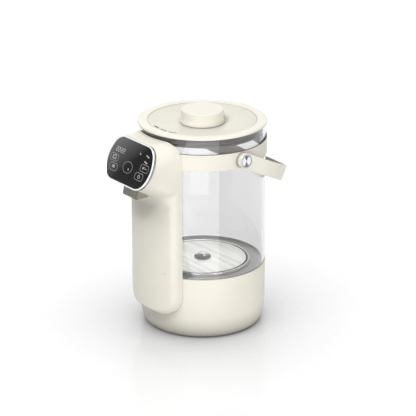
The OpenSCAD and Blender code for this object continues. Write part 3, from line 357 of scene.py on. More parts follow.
# Nodes of the CAD that stay as they are, by the material that dresses them
CAD_LOOKS = (
    (cream_inner, "bottom_cover column_back"),
    (zinc, "bottom_screws water_sensor column_screws touch_springs pump_motor board_screws "
           "knob_screw"),
    (dark_plastic, "thermostat digit_display pump_impeller relay capacitors buzzer power_inlet"),
    (white_plastic, "display_carrier pump_body pump_cap pump_saddle board_sockets "
                    "display_ribbon"),
    (board_resist, "display_board main_board"), (hose_skin, "inlet_hose outlet_hose"),
    (lead_skin, "mains_leads heater_leads"), (grey_silicone, "spout_nozzle steam_baffle"),
    (foot_rubber, "foot_ring"), (cast_aluminium, "heater_pad"),
    (heater_steel, "heater_element"), (plain_steel, "outlet_fitting"),
    (winding, "transformer"), (brass, "inlet_pins"),
)
for look, names in CAD_LOOKS:
    for name in names.split():
        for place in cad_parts[name].material_slots:
            place.material = look


# Making of meshes
def mesh_of(name, verts, faces):
    """Mesh of points in millimetres, doubles joined and faces turned outwards."""
    mesh = bpy.data.meshes.new(name)
    mesh.from_pydata((np.asarray(verts, float) * MM).tolist(), [], [list(f) for f in faces])
    work = bmesh.new()
    work.from_mesh(mesh)
    bmesh.ops.remove_doubles(work, verts=work.verts, dist=1e-7)
    bmesh.ops.recalc_face_normals(work, faces=work.faces)
    work.to_mesh(mesh)
    work.free()
    return mesh


def added(name, data):
    """New object in the scene."""
    thing = bpy.data.objects.new(name, data)
    bpy.context.scene.collection.objects.link(thing)
    return thing


def piece(name, verts, faces, look, slot, replaces=(), body="root", sharp=35.0):
    """New visible piece, shaded smooth but for its sharp edges."""
    mesh = mesh_of(name, verts, faces)
    mesh.materials.append(look)
    mesh.shade_smooth()
    mesh.set_sharp_from_angle(angle=math.radians(sharp))
    thing = added(name, mesh)
    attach(thing, body)
    if replaces:
        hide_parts(*replaces)
    return thing


def cut(thing, shapes):
    """Takes solids, each a (points, faces) pair in millimetres, out of a piece."""
    for shape in shapes:
        tool = added("cutter", mesh_of("cutter", *shape))
        change = thing.modifiers.new("cut", "BOOLEAN")
        change.operation, change.solver, change.object = "DIFFERENCE", "EXACT", tool
        bpy.context.view_layer.update()
        view = bpy.context.evaluated_depsgraph_get()
        result = bpy.data.meshes.new_from_object(thing.evaluated_get(view))
        thing.modifiers.clear()
        old, thing.data = thing.data, result
        spent = tool.data
        bpy.data.objects.remove(tool)
        bpy.data.meshes.remove(spent)
        bpy.data.meshes.remove(old)
    thing.data.shade_smooth()
    thing.data.set_sharp_from_angle(angle=math.radians(30))


def joined(parts):
    """Points and faces of several meshes as one."""
    verts, faces, count = [], [], 0
    for part_verts, part_faces in parts:
        verts.append(np.asarray(part_verts, float).reshape(-1, 3))
        faces += [[i + count for i in face] for face in part_faces]
        count += len(verts[-1])
    return np.concatenate(verts), faces


def turned(points, angle, axis=2):
    """Points turned about an axis through the origin."""
    points = np.asarray(points, float)
    c, s, i, j = math.cos(angle), math.sin(angle), (axis + 1) % 3, (axis + 2) % 3
    result = points.copy()
    result[:, i] = points[:, i] * c - points[:, j] * s
    result[:, j] = points[:, i] * s + points[:, j] * c
    return result


def unit(vectors):
    return vectors / (np.linalg.norm(vectors, axis=-1, keepdims=True) + 1e-9)


def ring_faces(rings, size, closed=True):
    """Faces between rings of points that follow one another, each of the same size."""
    return [[r * size + k, r * size + (k + 1) % size, (r + 1) % rings * size + (k + 1) % size,
             (r + 1) % rings * size + k]
            for r in range(rings if closed else rings - 1) for k in range(size)]


def arc(x, y, radius, angles):
    """Points round (x, y) at angles in degrees; the radius is one number or two for an oval."""
    t = np.radians(angles)
    return np.column_stack([np.cos(t), np.sin(t)]) * radius + [x, y]


def rounded(corners, steps=6):
    """Closed outline in which each corner (x, y, radius) is turned into an arc.

    A point beside each arc keeps the shading of the straight sides flat."""
    points, count = [], len(corners)
    for i, (x, y, radius) in enumerate(corners):
        here = np.array([x, y], float)
        if radius <= 0:
            points.append(here)
            continue
        back, ahead = (corners[j][:2] - here for j in (i - 1, (i + 1) % count))
        room = 0.499 * min(np.linalg.norm(back), np.linalg.norm(ahead))
        back, ahead = unit(back), unit(ahead)
        half = math.acos(back @ ahead) / 2
        reach = min(radius / math.tan(half), room)
        radius = reach * math.tan(half)
        centre = here + unit(back + ahead) * radius / math.sin(half)
        start, end = here + back * reach - centre, here + ahead * reach - centre
        a0, a1 = math.atan2(start[1], start[0]), math.atan2(end[1], end[0])
        turn = (a1 - a0 + math.pi) % (2 * math.pi) - math.pi
        spare = min(0.4, (room - reach) * 0.5)
        if spare > 0.02:
            points.append(here + back * (reach + spare))
        points += list(arc(*centre, radius, np.degrees(np.linspace(a0, a0 + turn, steps + 1))))
        if spare > 0.02:
            points.append(here + ahead * (reach + spare))
    return np.array(points)


def arc_band(x, y, inner, outer, angles):
    """Closed outline between two arcs."""
    return np.concatenate([arc(x, y, outer, angles), arc(x, y, inner, angles[::-1])])


def rod(radius, low, high):
    """Outline of a plain round bar, for lathe."""
    return [(AXIS, low), (radius, low), (radius, high), (AXIS, high)]


def lathe(outline, segments=192, level=0.0):
    """Outline of (radius, height above a level) points turned once round the z axis."""
    radius, height = np.array(outline, float).T
    verts = np.concatenate([np.column_stack([np.outer(radius, spot), height + level])
                            for spot in arc(0, 0, 1, np.arange(segments) * 360 / segments)])
    n, off_axis = len(radius), radius > 1e-6
    return verts, [f for f in ring_faces(segments, n) if off_axis[f[0] % n] or off_axis[f[1] % n]]


def both_sides(shape):
    """Turned shape laid along x at the pivots' height, on the left and on the right."""
    verts, faces = shape
    return [(np.stack([side * verts[:, 2], verts[:, 0], verts[:, 1] + PIVOT_Z], 1), faces)
            for side in (-1, 1)]


def box(low, high):
    corners = [(x, y, z) for x in (low[0], high[0]) for y in (low[1], high[1])
               for z in (low[2], high[2])]
    return corners, [(0, 1, 3, 2), (4, 6, 7, 5), (0, 4, 5, 1), (2, 3, 7, 6), (0, 2, 6, 4),
                     (1, 5, 7, 3)]


def swept_loop(rings, closed=True):
    """Loops of points, each a (loop, height) pair, joined in turn; open ends are capped."""
    verts = np.concatenate([np.column_stack([loop, np.full(len(loop), height)])
                            for loop, height in rings])
    size = len(rings[0][0])
    faces = ring_faces(len(rings), size, closed)
    if not closed:
        faces += [list(range(size)), list(range(len(verts) - size, len(verts)))[::-1]]
    return verts, faces


def bar(shape, across):
    """Outline in a plane, as a rod along the third axis between two places."""
    return swept_loop([(shape, at) for at in across], closed=False)


# Base and glass
outside = arc(BASE_R - TURN_W, FOOT_H + TURN_H, (TURN_W, TURN_H), np.linspace(-90, 0, 40))
inside = [(x - WALL, z) for x, z in outside[::-1] if z > OPEN_Z]
foot_r = BASE_R - TURN_W - WALL
profile = [(foot_r, FOOT_H), *outside, (BASE_R, RIM_Z - RIM_EDGE),
           (BASE_R - 0.3 * RIM_EDGE, RIM_Z - 0.3 * RIM_EDGE), (BASE_R - RIM_EDGE, RIM_Z),
           (BASE_IN, RIM_Z), (BASE_IN, SHELF_Z1), (SHELF_R, SHELF_Z1), (SHELF_R, SHELF_Z0),
           (BASE_IN, SHELF_Z0), *inside, (OPEN_R, OPEN_Z), (OPEN_R, LEDGE_Z), (foot_r, LEDGE_Z)]
base = piece("base_body", *lathe(profile), cream, "cream_plastic", ["base_shell"])
cut(base, [box((-w, y, INLET_Z - h), (w, BASE_R + 10, INLET_Z + h))
           for w, y, h in ((FLAT_W, FLAT_Y, FLAT_H), (INLET_W, BASE_R - 10, INLET_H))])

glass = rounded([(GLASS_IN, RIM_Z + TOUCH, 0.8), (GLASS_R, RIM_Z + TOUCH, 0.8),
                 (GLASS_R, SEAT_Z - TOUCH, 1.0), (GLASS_IN, SEAT_Z - TOUCH, 1.0)])
piece("vessel_tube", *lathe(glass, 256), vessel_glass, "clear_glass", ["glass_cylinder"])

# Steel floor: a brushed disc, a polished lip beside a groove, a flange under a sealing ring
LIP_W, LIP_H, LIP_START = 1.2, 0.6, 162.81
flange, under = FLANGE_Z - DISC_Z, SHELF_Z1 - DISC_Z
rim = [(HUB_R, -0.5), (GROOVE_R, -0.5), (GROOVE_R + 0.3, -1.3), (GROOVE_R + 1.0, -1.5),
       (GROOVE_R + 1.6, -1.2), (GROOVE_R + 2.0, -0.5),
       *arc(DISC_R - LIP_W - 0.2, -0.5, (LIP_W, LIP_H), np.linspace(LIP_START, 90, 6)),
       *arc(DISC_R - LIP_W, -1.1, LIP_W, np.linspace(90, 0, 8)),
       (DISC_R, flange), (BASE_IN - 0.3, flange), (BASE_IN - 0.3, under),
       (DISC_R - 1.0, under), (DISC_R - 1.0, -2), (HUB_R, -2)]
disc = rounded([(HUB_R, -0.7, 0), (HUB_R, 0, 0.1), (GROOVE_R - 0.2, 0, 0.35),
                (GROOVE_R - 0.2, -0.7, 0)])
seal = rounded([(DISC_R + 0.1, 0, 0), (BASE_IN - 0.1, 0, 0), (BASE_IN - 0.1, 0.9, 0.3),
                (BASE_IN - 1.2, 0.9, 0.2), (BASE_IN - 1.6, 0.5, 0.2), (DISC_R + 0.6, 0.5, 0.2)])
piece("vessel_floor_rim", *lathe(rim, 192, DISC_Z), groove_steel, "vessel_steel",
      ["heating_plate"])
piece("vessel_floor_disc", *lathe(disc, 192, DISC_Z), floor_steel, "vessel_steel")
piece("floor_seal_ring", *lathe(seal, 192, FLANGE_Z), ring_grey, "grey_silicone",
      ["plate_seal"])

# Strainer: a flange and a crown with a ring of windows over a dark core
CROWN_H, CROWN_EDGE, TUBE_R, TUBE_IN = 6.0, 10.7, 6.25, 4.9
WINDOWS, WINDOW_TURN, WINDOW_HALF, WINDOW_Z0, WINDOW_Z1 = 8, -0.7, 1.2, 3.1, 5.5
CORE_R, CORE_Z0, CORE_Z1 = 5.15, 3.0, 5.55
crown = rounded([(0, 1.0, 0), (0, CROWN_H, 0), (5.9, CROWN_H, 1.6), (7.5, 3.6, 1.0),
                 (7.2, 1.5, 0.6), (CROWN_EDGE, 1.3, 0.5), (CROWN_EDGE, 0, 0.1), (TUBE_R, 0, 0),
                 (TUBE_R, -4, 0), (TUBE_IN, -4, 0), (TUBE_IN, 1.0, 0)])
strainer = piece("strainer_cap", *lathe(crown, 96, DISC_Z), strainer_chrome, "bright_chrome",
                 ["outlet_strainer"])
window, window_faces = box((4.7, -WINDOW_HALF, DISC_Z + WINDOW_Z0),
                           (8.4, WINDOW_HALF, DISC_Z + WINDOW_Z1))
cut(strainer, [(turned(window, i * 2 * math.pi / WINDOWS + WINDOW_TURN), window_faces)
               for i in range(WINDOWS)])
core = [(0, CORE_Z0), (0, CORE_Z1), (CORE_R, CORE_Z1), (CORE_R, CORE_Z0)]
piece("strainer_core", *lathe(core, 48, DISC_Z), dark_plastic, "dark_plastic")

# Collar with its bosses, and the bright caps of the pivots
band = rounded([(COLLAR_IN, COLLAR_Z0, 0.3), (COLLAR_R, COLLAR_Z0, 0.5),
                (COLLAR_R, COLLAR_Z1, 0.5), (COLLAR_IN, COLLAR_Z1, 0.3)])
boss = rounded([(AXIS, BOSS_ROOT, 0), (BOSS_R + 1.1, BOSS_ROOT, 0),
                (BOSS_R, BOSS_ROOT + 1.3, 1.0), (BOSS_R, BOSS_X, 1.0), (AXIS, BOSS_X, 0)])
piece("collar_band", *joined([lathe(band, 256)] + both_sides(lathe(boss, 96))), cream_collar,
      "cream_plastic", ["collar"])
button = rounded([(AXIS, -0.9, 0), (7.5, -0.9, 0.1), (7.5, TOUCH, 0), (9.2, TOUCH, 0.1),
                  (9.2, 0.45, 0.3), (8.0, 0.88, 0.3), (7.3, 0.88, 0.1), (7.0, 0.55, 0.1),
                  (AXIS, 0.15, 0)])
pin = rod(PIVOT_R, BOSS_ROOT + 0.3, STRAP_X1 - 0.7)
piece("pivot_buttons", *joined(both_sides(lathe(button, 96, STRAP_X1))
                               + both_sides(lathe(pin, 96))),
      spun_chrome, "bright_chrome", ["pivot_screws"])


def strap_mesh():
    """Flat U with round ends, its edges rounded on both faces."""
    middle, thick, edge = (STRAP_X0 + STRAP_X1) / 2, STRAP_X1 - STRAP_X0, 0.5
    half = STRAP_W / 2
    # Along the centre line s runs from a round end, below zero, to the middle of the bend
    total = STRAP_STRAIGHT + middle * QUARTER
    run = np.concatenate([-half * np.cos(np.linspace(0, QUARTER, 14)),
                          np.linspace(0, total, 60)[1:]])
    near_edge = [-1, -0.992, -0.978, -0.955, -0.93]
    across = np.array(near_edge + list(np.linspace(-0.86, 0.86, 7))
                      + [-f for f in near_edge[::-1]])
    verts = []
    for side, stretch in ((1, run), (-1, run[-2::-1])):
        for s in stretch:
            bend = max(s - STRAP_STRAIGHT, 0.0) / middle
            out = np.array([side * math.cos(bend), math.sin(bend)])
            point = np.array([0, min(s, STRAP_STRAIGHT)]) + middle * out
            past = min(s, 0.0)
            width = math.sqrt(max(half ** 2 - past ** 2, 0.0))
            for face in (1, -1):
                for v in across[::face] * width:
                    gap = max(half - math.hypot(v, past), 0.0)
                    drop = edge - math.sqrt(max(edge ** 2 - max(edge - gap, 0.0) ** 2, 0.0))
                    verts.append((*(point + out * face * (thick / 2 - drop)), v))
    size = 2 * len(across)
    swung = turned(verts, math.radians(-STRAP_DROP), axis=0) + [0, 0, PIVOT_Z]
    return swung, ring_faces(len(verts) // size, size, closed=False)


strap = piece("handle_band", *strap_mesh(), cream_strap, "cream_plastic", ["handle_strap"],
              "handle")
cut(strap, both_sides(lathe(rod(7.8, STRAP_X1 - 1.0, STRAP_X1 + 2), 64))
    + both_sides(lathe(rod(PIVOT_R + 0.05, STRAP_X0 - 2, STRAP_X1), 64)))


# Lid
def slots(inset, z0, z1):
    """Steam slots: three curved solids in a row over the lid's front."""
    shapes = []
    for middle in (-SLOT_STEP, 0.0, SLOT_STEP):
        angles = np.linspace(middle - SLOT_HALF, middle + SLOT_HALF, 12) + SLOT_TURN - 90
        loop = arc_band(0, 0, SLOT_R0 + inset, SLOT_R1 - inset, angles)
        shapes.append(bar(loop, (z0, z1)))
    return shapes


rim_shape = rounded([(DISH_R - 4, SEAT_Z, 0), (LID_R, SEAT_Z, 0.6), (LID_R, LID_TOP, 1.3),
                     (DISH_R + 2.6, LID_TOP, 1.2), (DISH_R + 0.3, LID_TOP - 0.7, 0.2),
                     (DISH_R + 0.3, SEAT_Z + 1.4, 0), (DISH_R - 4, SEAT_Z + 1.4, 0)])
dish_shape = rounded([(DISH_R - 0.3, LID_TOP - 0.8, 0.35), (KNOB_R + 3.5, DISH_Z + 0.1, 8),
                      (3, DISH_Z, 0), (3, DISH_Z - 1.2, 0), (KNOB_R - 3, DISH_Z - 1.2, 0),
                      (DISH_R - 4.3, SEAT_Z + 1.5, 0), (DISH_R - 0.3, SEAT_Z + 1.5, 0)])
for name, shape, look, node in (("lid_edge_ring", rim_shape, cream_lid, "lid_rim"),
                                ("lid_dish_skin", dish_shape, shaded_cream_dish, "lid_dish")):
    made = piece(name, *lathe(shape, 256), look, "lid_plastic", [node], "lid")
    cut(made, slots(0, SEAT_Z - 1, SEAT_Z + 5))
# Dark linings on the slots' walls: painted shade deep in the slots.
slot_shades = zip(slots(0.04, SEAT_Z, DISH_TOP), slots(0.3, SEAT_Z - 15, SEAT_Z + 15))
for k, (outer, inner) in enumerate(slot_shades):
    shade_piece = piece("slot_liner_%d" % (k + 1), *outer, slot_shade_look, "dark_plastic", (), "lid")
    cut(shade_piece, [inner])
knob = rounded([(AXIS, 0.05, 0), (KNOB_R - 4, 0.05, 0), (KNOB_R - 4, 0.5, 0),
                (KNOB_R + 0.9, 0.5, 0.5), (KNOB_R - 0.5, 7.0, 7), (KNOB_R, KNOB_H - 0.5, 1.3),
                (KNOB_R - 4.4, KNOB_H, 5), (AXIS, KNOB_H, 0)], 8)
piece("lid_grip", *lathe(knob, 192, DISH_Z), cream_knob, "lid_plastic", ["lid_knob"], "lid")
plug = rounded([(PLUG_R - PLUG_WALL, SEAT_Z - 0.05, 0), (PLUG_R, SEAT_Z - 0.05, 0),
                (PLUG_R, PLUG_Z, 1.0), (6, PLUG_Z, 0.3), (6, DISH_Z - 1.3, 0),
                (4.2, DISH_Z - 1.3, 0), (4.2, PLUG_Z + PLUG_WALL, 0),
                (PLUG_R - PLUG_WALL, PLUG_Z + PLUG_WALL, 1.0)])
piece("plug_cup", *lathe(plug, 192), plug_grey, "lid_plastic", ["lid_plug"], "lid")
lips = rounded([(PLUG_R + out, up, radius) for out, up, radius in (
    (0.05, 0, 0.2), (1.3, 0, 0.4), (2.2, 1.0, 0.3), (1.2, 2.1, 0.3), (1.2, 5.4, 0.3),
    (2.2, 6.4, 0.3), (1.6, 9.0, 0.4), (0.05, 9.0, 0.2))])
piece("plug_lip_ring", *lathe(lips, 192, LIP_Z), dark_silicone, "grey_silicone",
      ["plug_seal"], "lid")


# Panel
def panel_loop(grow):
    """Outline of the panel, grown outwards: bowed sides, round corners, flat ends."""
    w, h = PANEL_W + grow, PANEL_H + grow
    rs, rc = PANEL_SIDE_R + grow, PANEL_CORNER_R + grow
    cx, cy = w - rs, h - rc
    px = cx + math.sqrt((rs - rc) ** 2 - cy * cy)
    a = math.degrees(math.atan2(cy, px - cx))
    side = np.concatenate([arc(px, -cy, rc, np.linspace(-90, -a, 18)),
                           arc(cx, 0, rs, np.linspace(-a, a, 20))[1:-1],
                           arc(px, cy, rc, np.linspace(a, 90, 18))])
    flat = np.linspace(px, -px, 12)[1:-1]
    return np.concatenate([side, np.column_stack([flat, np.full(10, h)]), side[::-1] * [-1, 1],
                           np.column_stack([-flat, np.full(10, -h)])])


def on_panel(mesh):
    """Mesh given across, up and out of the panel, set in its place."""
    verts, faces = mesh
    return PANEL_C + verts @ np.array([(1, 0, 0), PANEL_U, PANEL_N]), faces


bezel = rounded([(BEZEL_W, -BEZEL_BACK, 0), (BEZEL_W, 0.3, 1.5), (0.15, 0.3, 0.35),
                 (0.1, -PANEL_T, 0), (-1.2, -PANEL_T, 0), (-1.2, -BEZEL_BACK, 0)])
piece("panel_frame", *on_panel(swept_loop([(panel_loop(grow), z) for grow, z in bezel])),
      bezel_chrome, "bright_chrome", ["panel_bezel"])
pane = [(panel_loop(grow), z) for grow, z in ((0, -PANEL_T), (0, -0.35), (-0.1, -0.1), (-0.4, 0))]
piece("panel_face", *on_panel(swept_loop(pane, closed=False)), panel_glass, "black_glass",
      ["panel_glass"])


def outline(loop, width=0.75):
    """Closed printed line along a loop of points."""
    along = np.roll(loop, -1, 0) - np.roll(loop, 1, 0)
    side = unit(np.stack([along[:, 1], -along[:, 0]], 1)) * width / 2
    return swept_loop([(loop - side, PRINT_IN), (loop - side, PRINT_OUT),
                       (loop + side, PRINT_OUT), (loop + side, PRINT_IN)])


def dab(x, y, w, h, turn=0.0):
    """Printed block of half sizes w and h, turned about its middle."""
    verts, faces = bar(SQUARE * (w, h), (PRINT_IN, PRINT_OUT))
    return turned(verts, turn) + [x, y, 0], faces


def figure_two(x, y, w=1.35, h=2.7, half_bar=0.375):
    """Lit bars of the figure 2 on a seven-segment display, with half sizes w and h."""
    level, upright = (w - 0.1, half_bar), (half_bar, h / 2 - 0.15)
    return [dab(x + right, y + up, *size) for right, up, size in (
        (0, h, level), (w, h / 2, upright), (0, -h, level), (-w, -h / 2, upright),
        (0, 0, level))]


FIGURES_X, FIGURES_Y = (-31.6, -27.2, -21.6, -17.2), 10.2
# Signs as blocks: x, y, half width, half height and turn
SIGNS = (
    # Colon between the figures
    (-24.4, 11.4, 0.4, 0.4), (-24.4, 8.8, 0.4, 0.4),
    # Cup with steam
    (-31.4, -2.6, 3.6, 0.45), (-34.4, -0.6, 0.45, 2.2), (-28.4, -0.6, 0.45, 2.2),
    (-33.0, 1.6, 0.4, 0.9), (-31.4, 1.9, 0.4, 0.9), (-29.8, 1.6, 0.4, 0.9),
    # Heat: three strokes under a line
    (-29.6, -12.3, 0.5, 1.5), (-27.5, -12.3, 0.5, 1.5), (-25.4, -12.3, 0.5, 1.5),
    (-27.5, -10.6, 2.4, 0.35),
    # Plus and minus
    (28.4, 0.8, 1.9, 0.45), (28.4, 0.8, 0.45, 1.9), (33.6, 0.8, 2.0, 0.45),
    (31.2, 2.6, 0.4, 0.5),
    # Stroke of the power sign, and the drop in the middle key
    (26.0, -9.3, 0.4, 1.3), (2.2, -8.1, 0.9, 0.9, 0.7),
    # Small marks along the top and the right
    (14.6, 15.9, 0.5, 1.2, 0.3), (15.3, 14.9, 1.0, 0.4, 0.3), (28.6, 16.4, 1.5, 0.75),
    (31.6, 15.4, 1.5, 0.75), (28.4, 8.8, 1.5, 0.75), (31.4, 7.8, 1.5, 0.75),
)
# Round frames of the four side keys, by their middles, and the oval of the middle key
KEYS, KEY_W, KEY_H, KEY_R = ((-31.4, -0.8), (-27.5, -12.3), (31.2, 0.8), (26, -11)), 8.0, 4.5, 3.4
OVAL, OVAL_AT, POWER_AT = (9.3, 7.1), (-0.4, -6.1), (26.0, -11.2)
dim = [outline(rounded([(x + a * KEY_W, y + b * KEY_H, KEY_R) for a, b in SQUARE]))
       for x, y in KEYS]
dim.append(outline(arc(*OVAL_AT, OVAL, np.arange(64) * 360 / 64)))
bright = [mark for x in FIGURES_X for mark in figure_two(x, FIGURES_Y)]
bright += [dab(*sign) for sign in SIGNS]
power_ring = arc_band(*POWER_AT, 1.5, 2.2, np.linspace(60, -240, 20))
bright.append(bar(power_ring, (PRINT_IN, PRINT_OUT)))
for name, parts, look in (("panel_print_outlines", dim, print_dim),
                          ("panel_print_signs", bright, print_grey)):
    piece(name, *on_panel(joined(parts)), look, "black_glass")

# Spout: a block whose front leans out, with the nozzle's hole in its foot
shape = rounded([(-SPOUT_W, SPOUT_Z, 1.0), (SPOUT_W, SPOUT_Z, 1.0), (SPOUT_W, SPOUT_TOP, 0),
                 (-SPOUT_W, SPOUT_TOP, 0)])
verts, faces = bar(shape, (SPOUT_Y - SPOUT_D / 2, SPOUT_Y + SPOUT_D / 2))
verts = verts[:, [0, 2, 1]]
verts[:, 1] += np.where(verts[:, 1] < SPOUT_Y, (verts[:, 2] - SPOUT_Z) * SPOUT_LEAN, 0)
spout = piece("spout_box", verts, faces, spout_grey, "spout_plastic", ["spout_block"])
verts, faces = lathe(rod(NOZZLE_R, -2.4, 2.6), 64, SPOUT_Z)
cut(spout, [(verts + [0, SPOUT_Y, 0], faces)])


# Column and head, as the zero surface of a distance field
def polygon_distance(points, px, py):
    """Signed distance of grid points to a convex outline that runs anticlockwise."""
    near = np.full(px.shape, 1e9)
    outside = np.full(px.shape, -1e9)
    for (x0, y0), (x1, y1) in zip(points, np.roll(points, -1, 0)):
        dx, dy = x1 - x0, y1 - y0
        size = math.hypot(dx, dy)
        if size < 1e-9:
            continue
        t = np.clip(((px - x0) * dx + (py - y0) * dy) / size ** 2, 0, 1)
        near = np.minimum(near, np.hypot(px - x0 - t * dx, py - y0 - t * dy))
        outside = np.maximum(outside, ((px - x0) * dy - (py - y0) * dx) / size)
    return np.where(outside > 0, near, -near)


def round_max(a, b, r):
    """Greater of two distances, with the edge between them rounded."""
    return np.minimum(np.maximum(a, b), -r) + np.hypot(np.maximum(a + r, 0), np.maximum(b + r, 0))


def round_min(a, b, r):
    """Smaller of two distances, with the hollow between them rounded."""
    return -round_max(-a, -b, r)


def rounded_box(x, up, half_w, half_h, r_low, r_high):
    """Signed distance to a box with one corner radius below and one above."""
    r = np.where(up > 0, r_high, r_low)
    return round_max(np.abs(x) - half_w, np.abs(up) - half_h, r)


def smooth_step(t):
    t = np.clip(t, 0, 1)
    return t * t * (3 - 2 * t)


def lookup(grid, low, step, *coords):
    """Values between the points of a grid, by straight interpolation on each axis."""
    places = [np.clip((c - l) / step, 0, n - 1.001) for c, l, n in
              zip(coords, low, grid.shape)]
    whole = [p.astype(int) for p in places]
    part = [p - w for p, w in zip(places, whole)]
    total = 0.0
    for corner in np.ndindex(*(2,) * len(coords)):
        weight = 1.0
        for k, c in enumerate(corner):
            weight = weight * (part[k] if c else 1 - part[k])
        total = total + weight * grid[tuple(w + c for w, c in zip(whole, corner))]
    return total


def column_field(x, y, z):
    """Value below zero inside the column and its head, about the distance outside."""
    mid, half = (COL_Z + HEAD_Z1) / 2, (HEAD_Z1 - COL_Z) / 2
    front = rounded_box(x, z - mid, COL_W, half, COL_LOW_R, HEAD_TOP_R)
    column = round_max(np.hypot(x, y) - COL_R, front, COL_EDGE)

    # The head fans out from a level hinge line, where it is upright, to the tilted panel
    grow = BEZEL_W - 0.3
    back = PANEL_C - (BEZEL_BACK - 0.4) * PANEL_N
    reach = (HEAD_Y - back[1]) / PANEL_U[1]
    hinge = back[2] + reach * PANEL_U[2]
    low, high = PANEL_H + grow + reach, reach - PANEL_H - grow
    forward, down = HEAD_Y - y, hinge - z
    angle = np.clip(np.arctan2(forward, down), 0, TILT)
    far = np.where(forward > 0, np.hypot(forward, down), down)

    def line(root, tip):
        """Distance from the hinge to a straight side of the head, by angle."""
        slope = (tip * math.cos(TILT) - root) / (tip * math.sin(TILT))
        return root / (np.cos(angle) - slope * np.sin(angle))

    top, bottom = line(hinge - HEAD_Z1, high), line(hinge - HEAD_Z0, low)
    half_h, up = (bottom - top) / 2, (top + bottom) / 2 - far
    t = angle / TILT
    half_w = COL_W + (PANEL_W + grow - COL_W) * t
    root_shape = rounded_box(x, up, half_w, half_h, HEAD_LOW_R, HEAD_TOP_R)
    step, wide, tall = 0.4, 64, 46
    gx, gy = np.meshgrid(np.arange(0, wide, step), np.arange(-tall, tall, step), indexing="ij")
    flat = polygon_distance(panel_loop(grow), gx, gy)
    face_shape = lookup(flat, (0, -tall), step, np.abs(x) * (PANEL_W + grow) / half_w,
                        up * (PANEL_H + grow) / half_h)
    head = root_shape + (face_shape - root_shape) * smooth_step(t)
    head = np.maximum(head, (y - back[1]) * PANEL_N[1] + (z - back[2]) * PANEL_N[2])
    return column, head


def blended(column, head, step):
    """Joins the two fields, with a hollow only where their surfaces meet at an angle."""
    ga, gb = np.stack(np.gradient(column, step)), np.stack(np.gradient(head, step))
    ga /= np.linalg.norm(ga, axis=0) + 1e-6
    gb /= np.linalg.norm(gb, axis=0) + 1e-6
    facing = np.clip((ga * gb).sum(0), -1, 1)
    hollow = HOLLOW_R * smooth_step((0.9 - facing) / 0.5)
    for _ in range(4):
        for axis in range(3):
            hollow = (np.roll(hollow, 1, axis) + hollow * 2 + np.roll(hollow, -1, axis)) / 4
    return round_min(column, head, np.maximum(hollow, 0.01))


def surface_nets(field, low, step):
    """Quads round the zero level of a grid, one point in each cell that it crosses."""
    inner = field < 0
    n = field.shape
    count = sum(inner[i:n[0] - 1 + i, j:n[1] - 1 + j, k:n[2] - 1 + k].astype(int)
                for i in (0, 1) for j in (0, 1) for k in (0, 1))
    active = (count > 0) & (count < 8)
    index = np.full(active.shape, -1)
    index[active] = np.arange(active.sum())
    cells = np.argwhere(active)
    total, hits = np.zeros((len(cells), 3)), np.zeros(len(cells))
    units = np.eye(3, dtype=int)
    for axis in range(3):
        one, two = units[(axis + 1) % 3], units[(axis + 2) % 3]
        for start in (cells, cells + one, cells + two, cells + one + two):
            fa, fb = field[tuple(start.T)], field[tuple((start + units[axis]).T)]
            cross = (fa < 0) != (fb < 0)
            t = fa[cross] / (fa[cross] - fb[cross])
            total[cross] += start[cross] + t[:, None] * units[axis]
            hits[cross] += 1
    verts = total / hits[:, None] * step + np.asarray(low)
    faces = []
    for axis in range(3):
        e1, e2 = (axis + 1) % 3, (axis + 2) % 3
        one, two = units[e1], units[e2]
        a, b = (inner.take(range(k, n[axis] - 1 + k), axis) for k in (0, 1))
        spots = np.argwhere(a != b)
        spots = spots[(spots[:, e1] > 0) & (spots[:, e2] > 0)
                      & (spots[:, e1] < n[e1] - 1) & (spots[:, e2] < n[e2] - 1)]
        quad = np.stack([index[tuple((spots - s).T)] for s in (0 * one, one, one + two, two)],
                        1)
        flip = ~a[tuple(spots.T)]
        quad[flip] = quad[flip][:, ::-1]
        faces.append(quad[(quad >= 0).all(1)])
    return verts, np.concatenate(faces)


def clip(verts, tris, value, keep_both=False):
    """Splits triangles where a value at their points is zero; keeps the side above."""
    verts, made, out_up, out_down = list(map(tuple, verts)), {}, [], []
    value = list(value)

    def between(i, j):
        """Point where the value is zero on the edge from i to j."""
        key = (min(i, j), max(i, j))
        if key not in made:
            t = value[i] / (value[i] - value[j])
            made[key] = len(verts)
            verts.append(tuple(a + (b - a) * t for a, b in zip(verts[i], verts[j])))
            value.append(0.0)
        return made[key]

    above = np.asarray(value) >= 0
    state = above[tris].sum(1)
    out_up += tris[state == 3].tolist()
    out_down += tris[state == 0].tolist()
    for tri in tris[(state == 1) | (state == 2)].tolist():
        one_up = sum(above[i] for i in tri) == 1
        k = [above[i] == one_up for i in tri].index(True)
        a, b, c = tri[k:] + tri[:k]
        p, q = between(a, b), between(a, c)
        (out_up if one_up else out_down).append([a, p, q])
        (out_down if one_up else out_up).extend([[p, b, c], [p, c, q]])
    return np.array(verts), np.array(out_up + (out_down if keep_both else []))


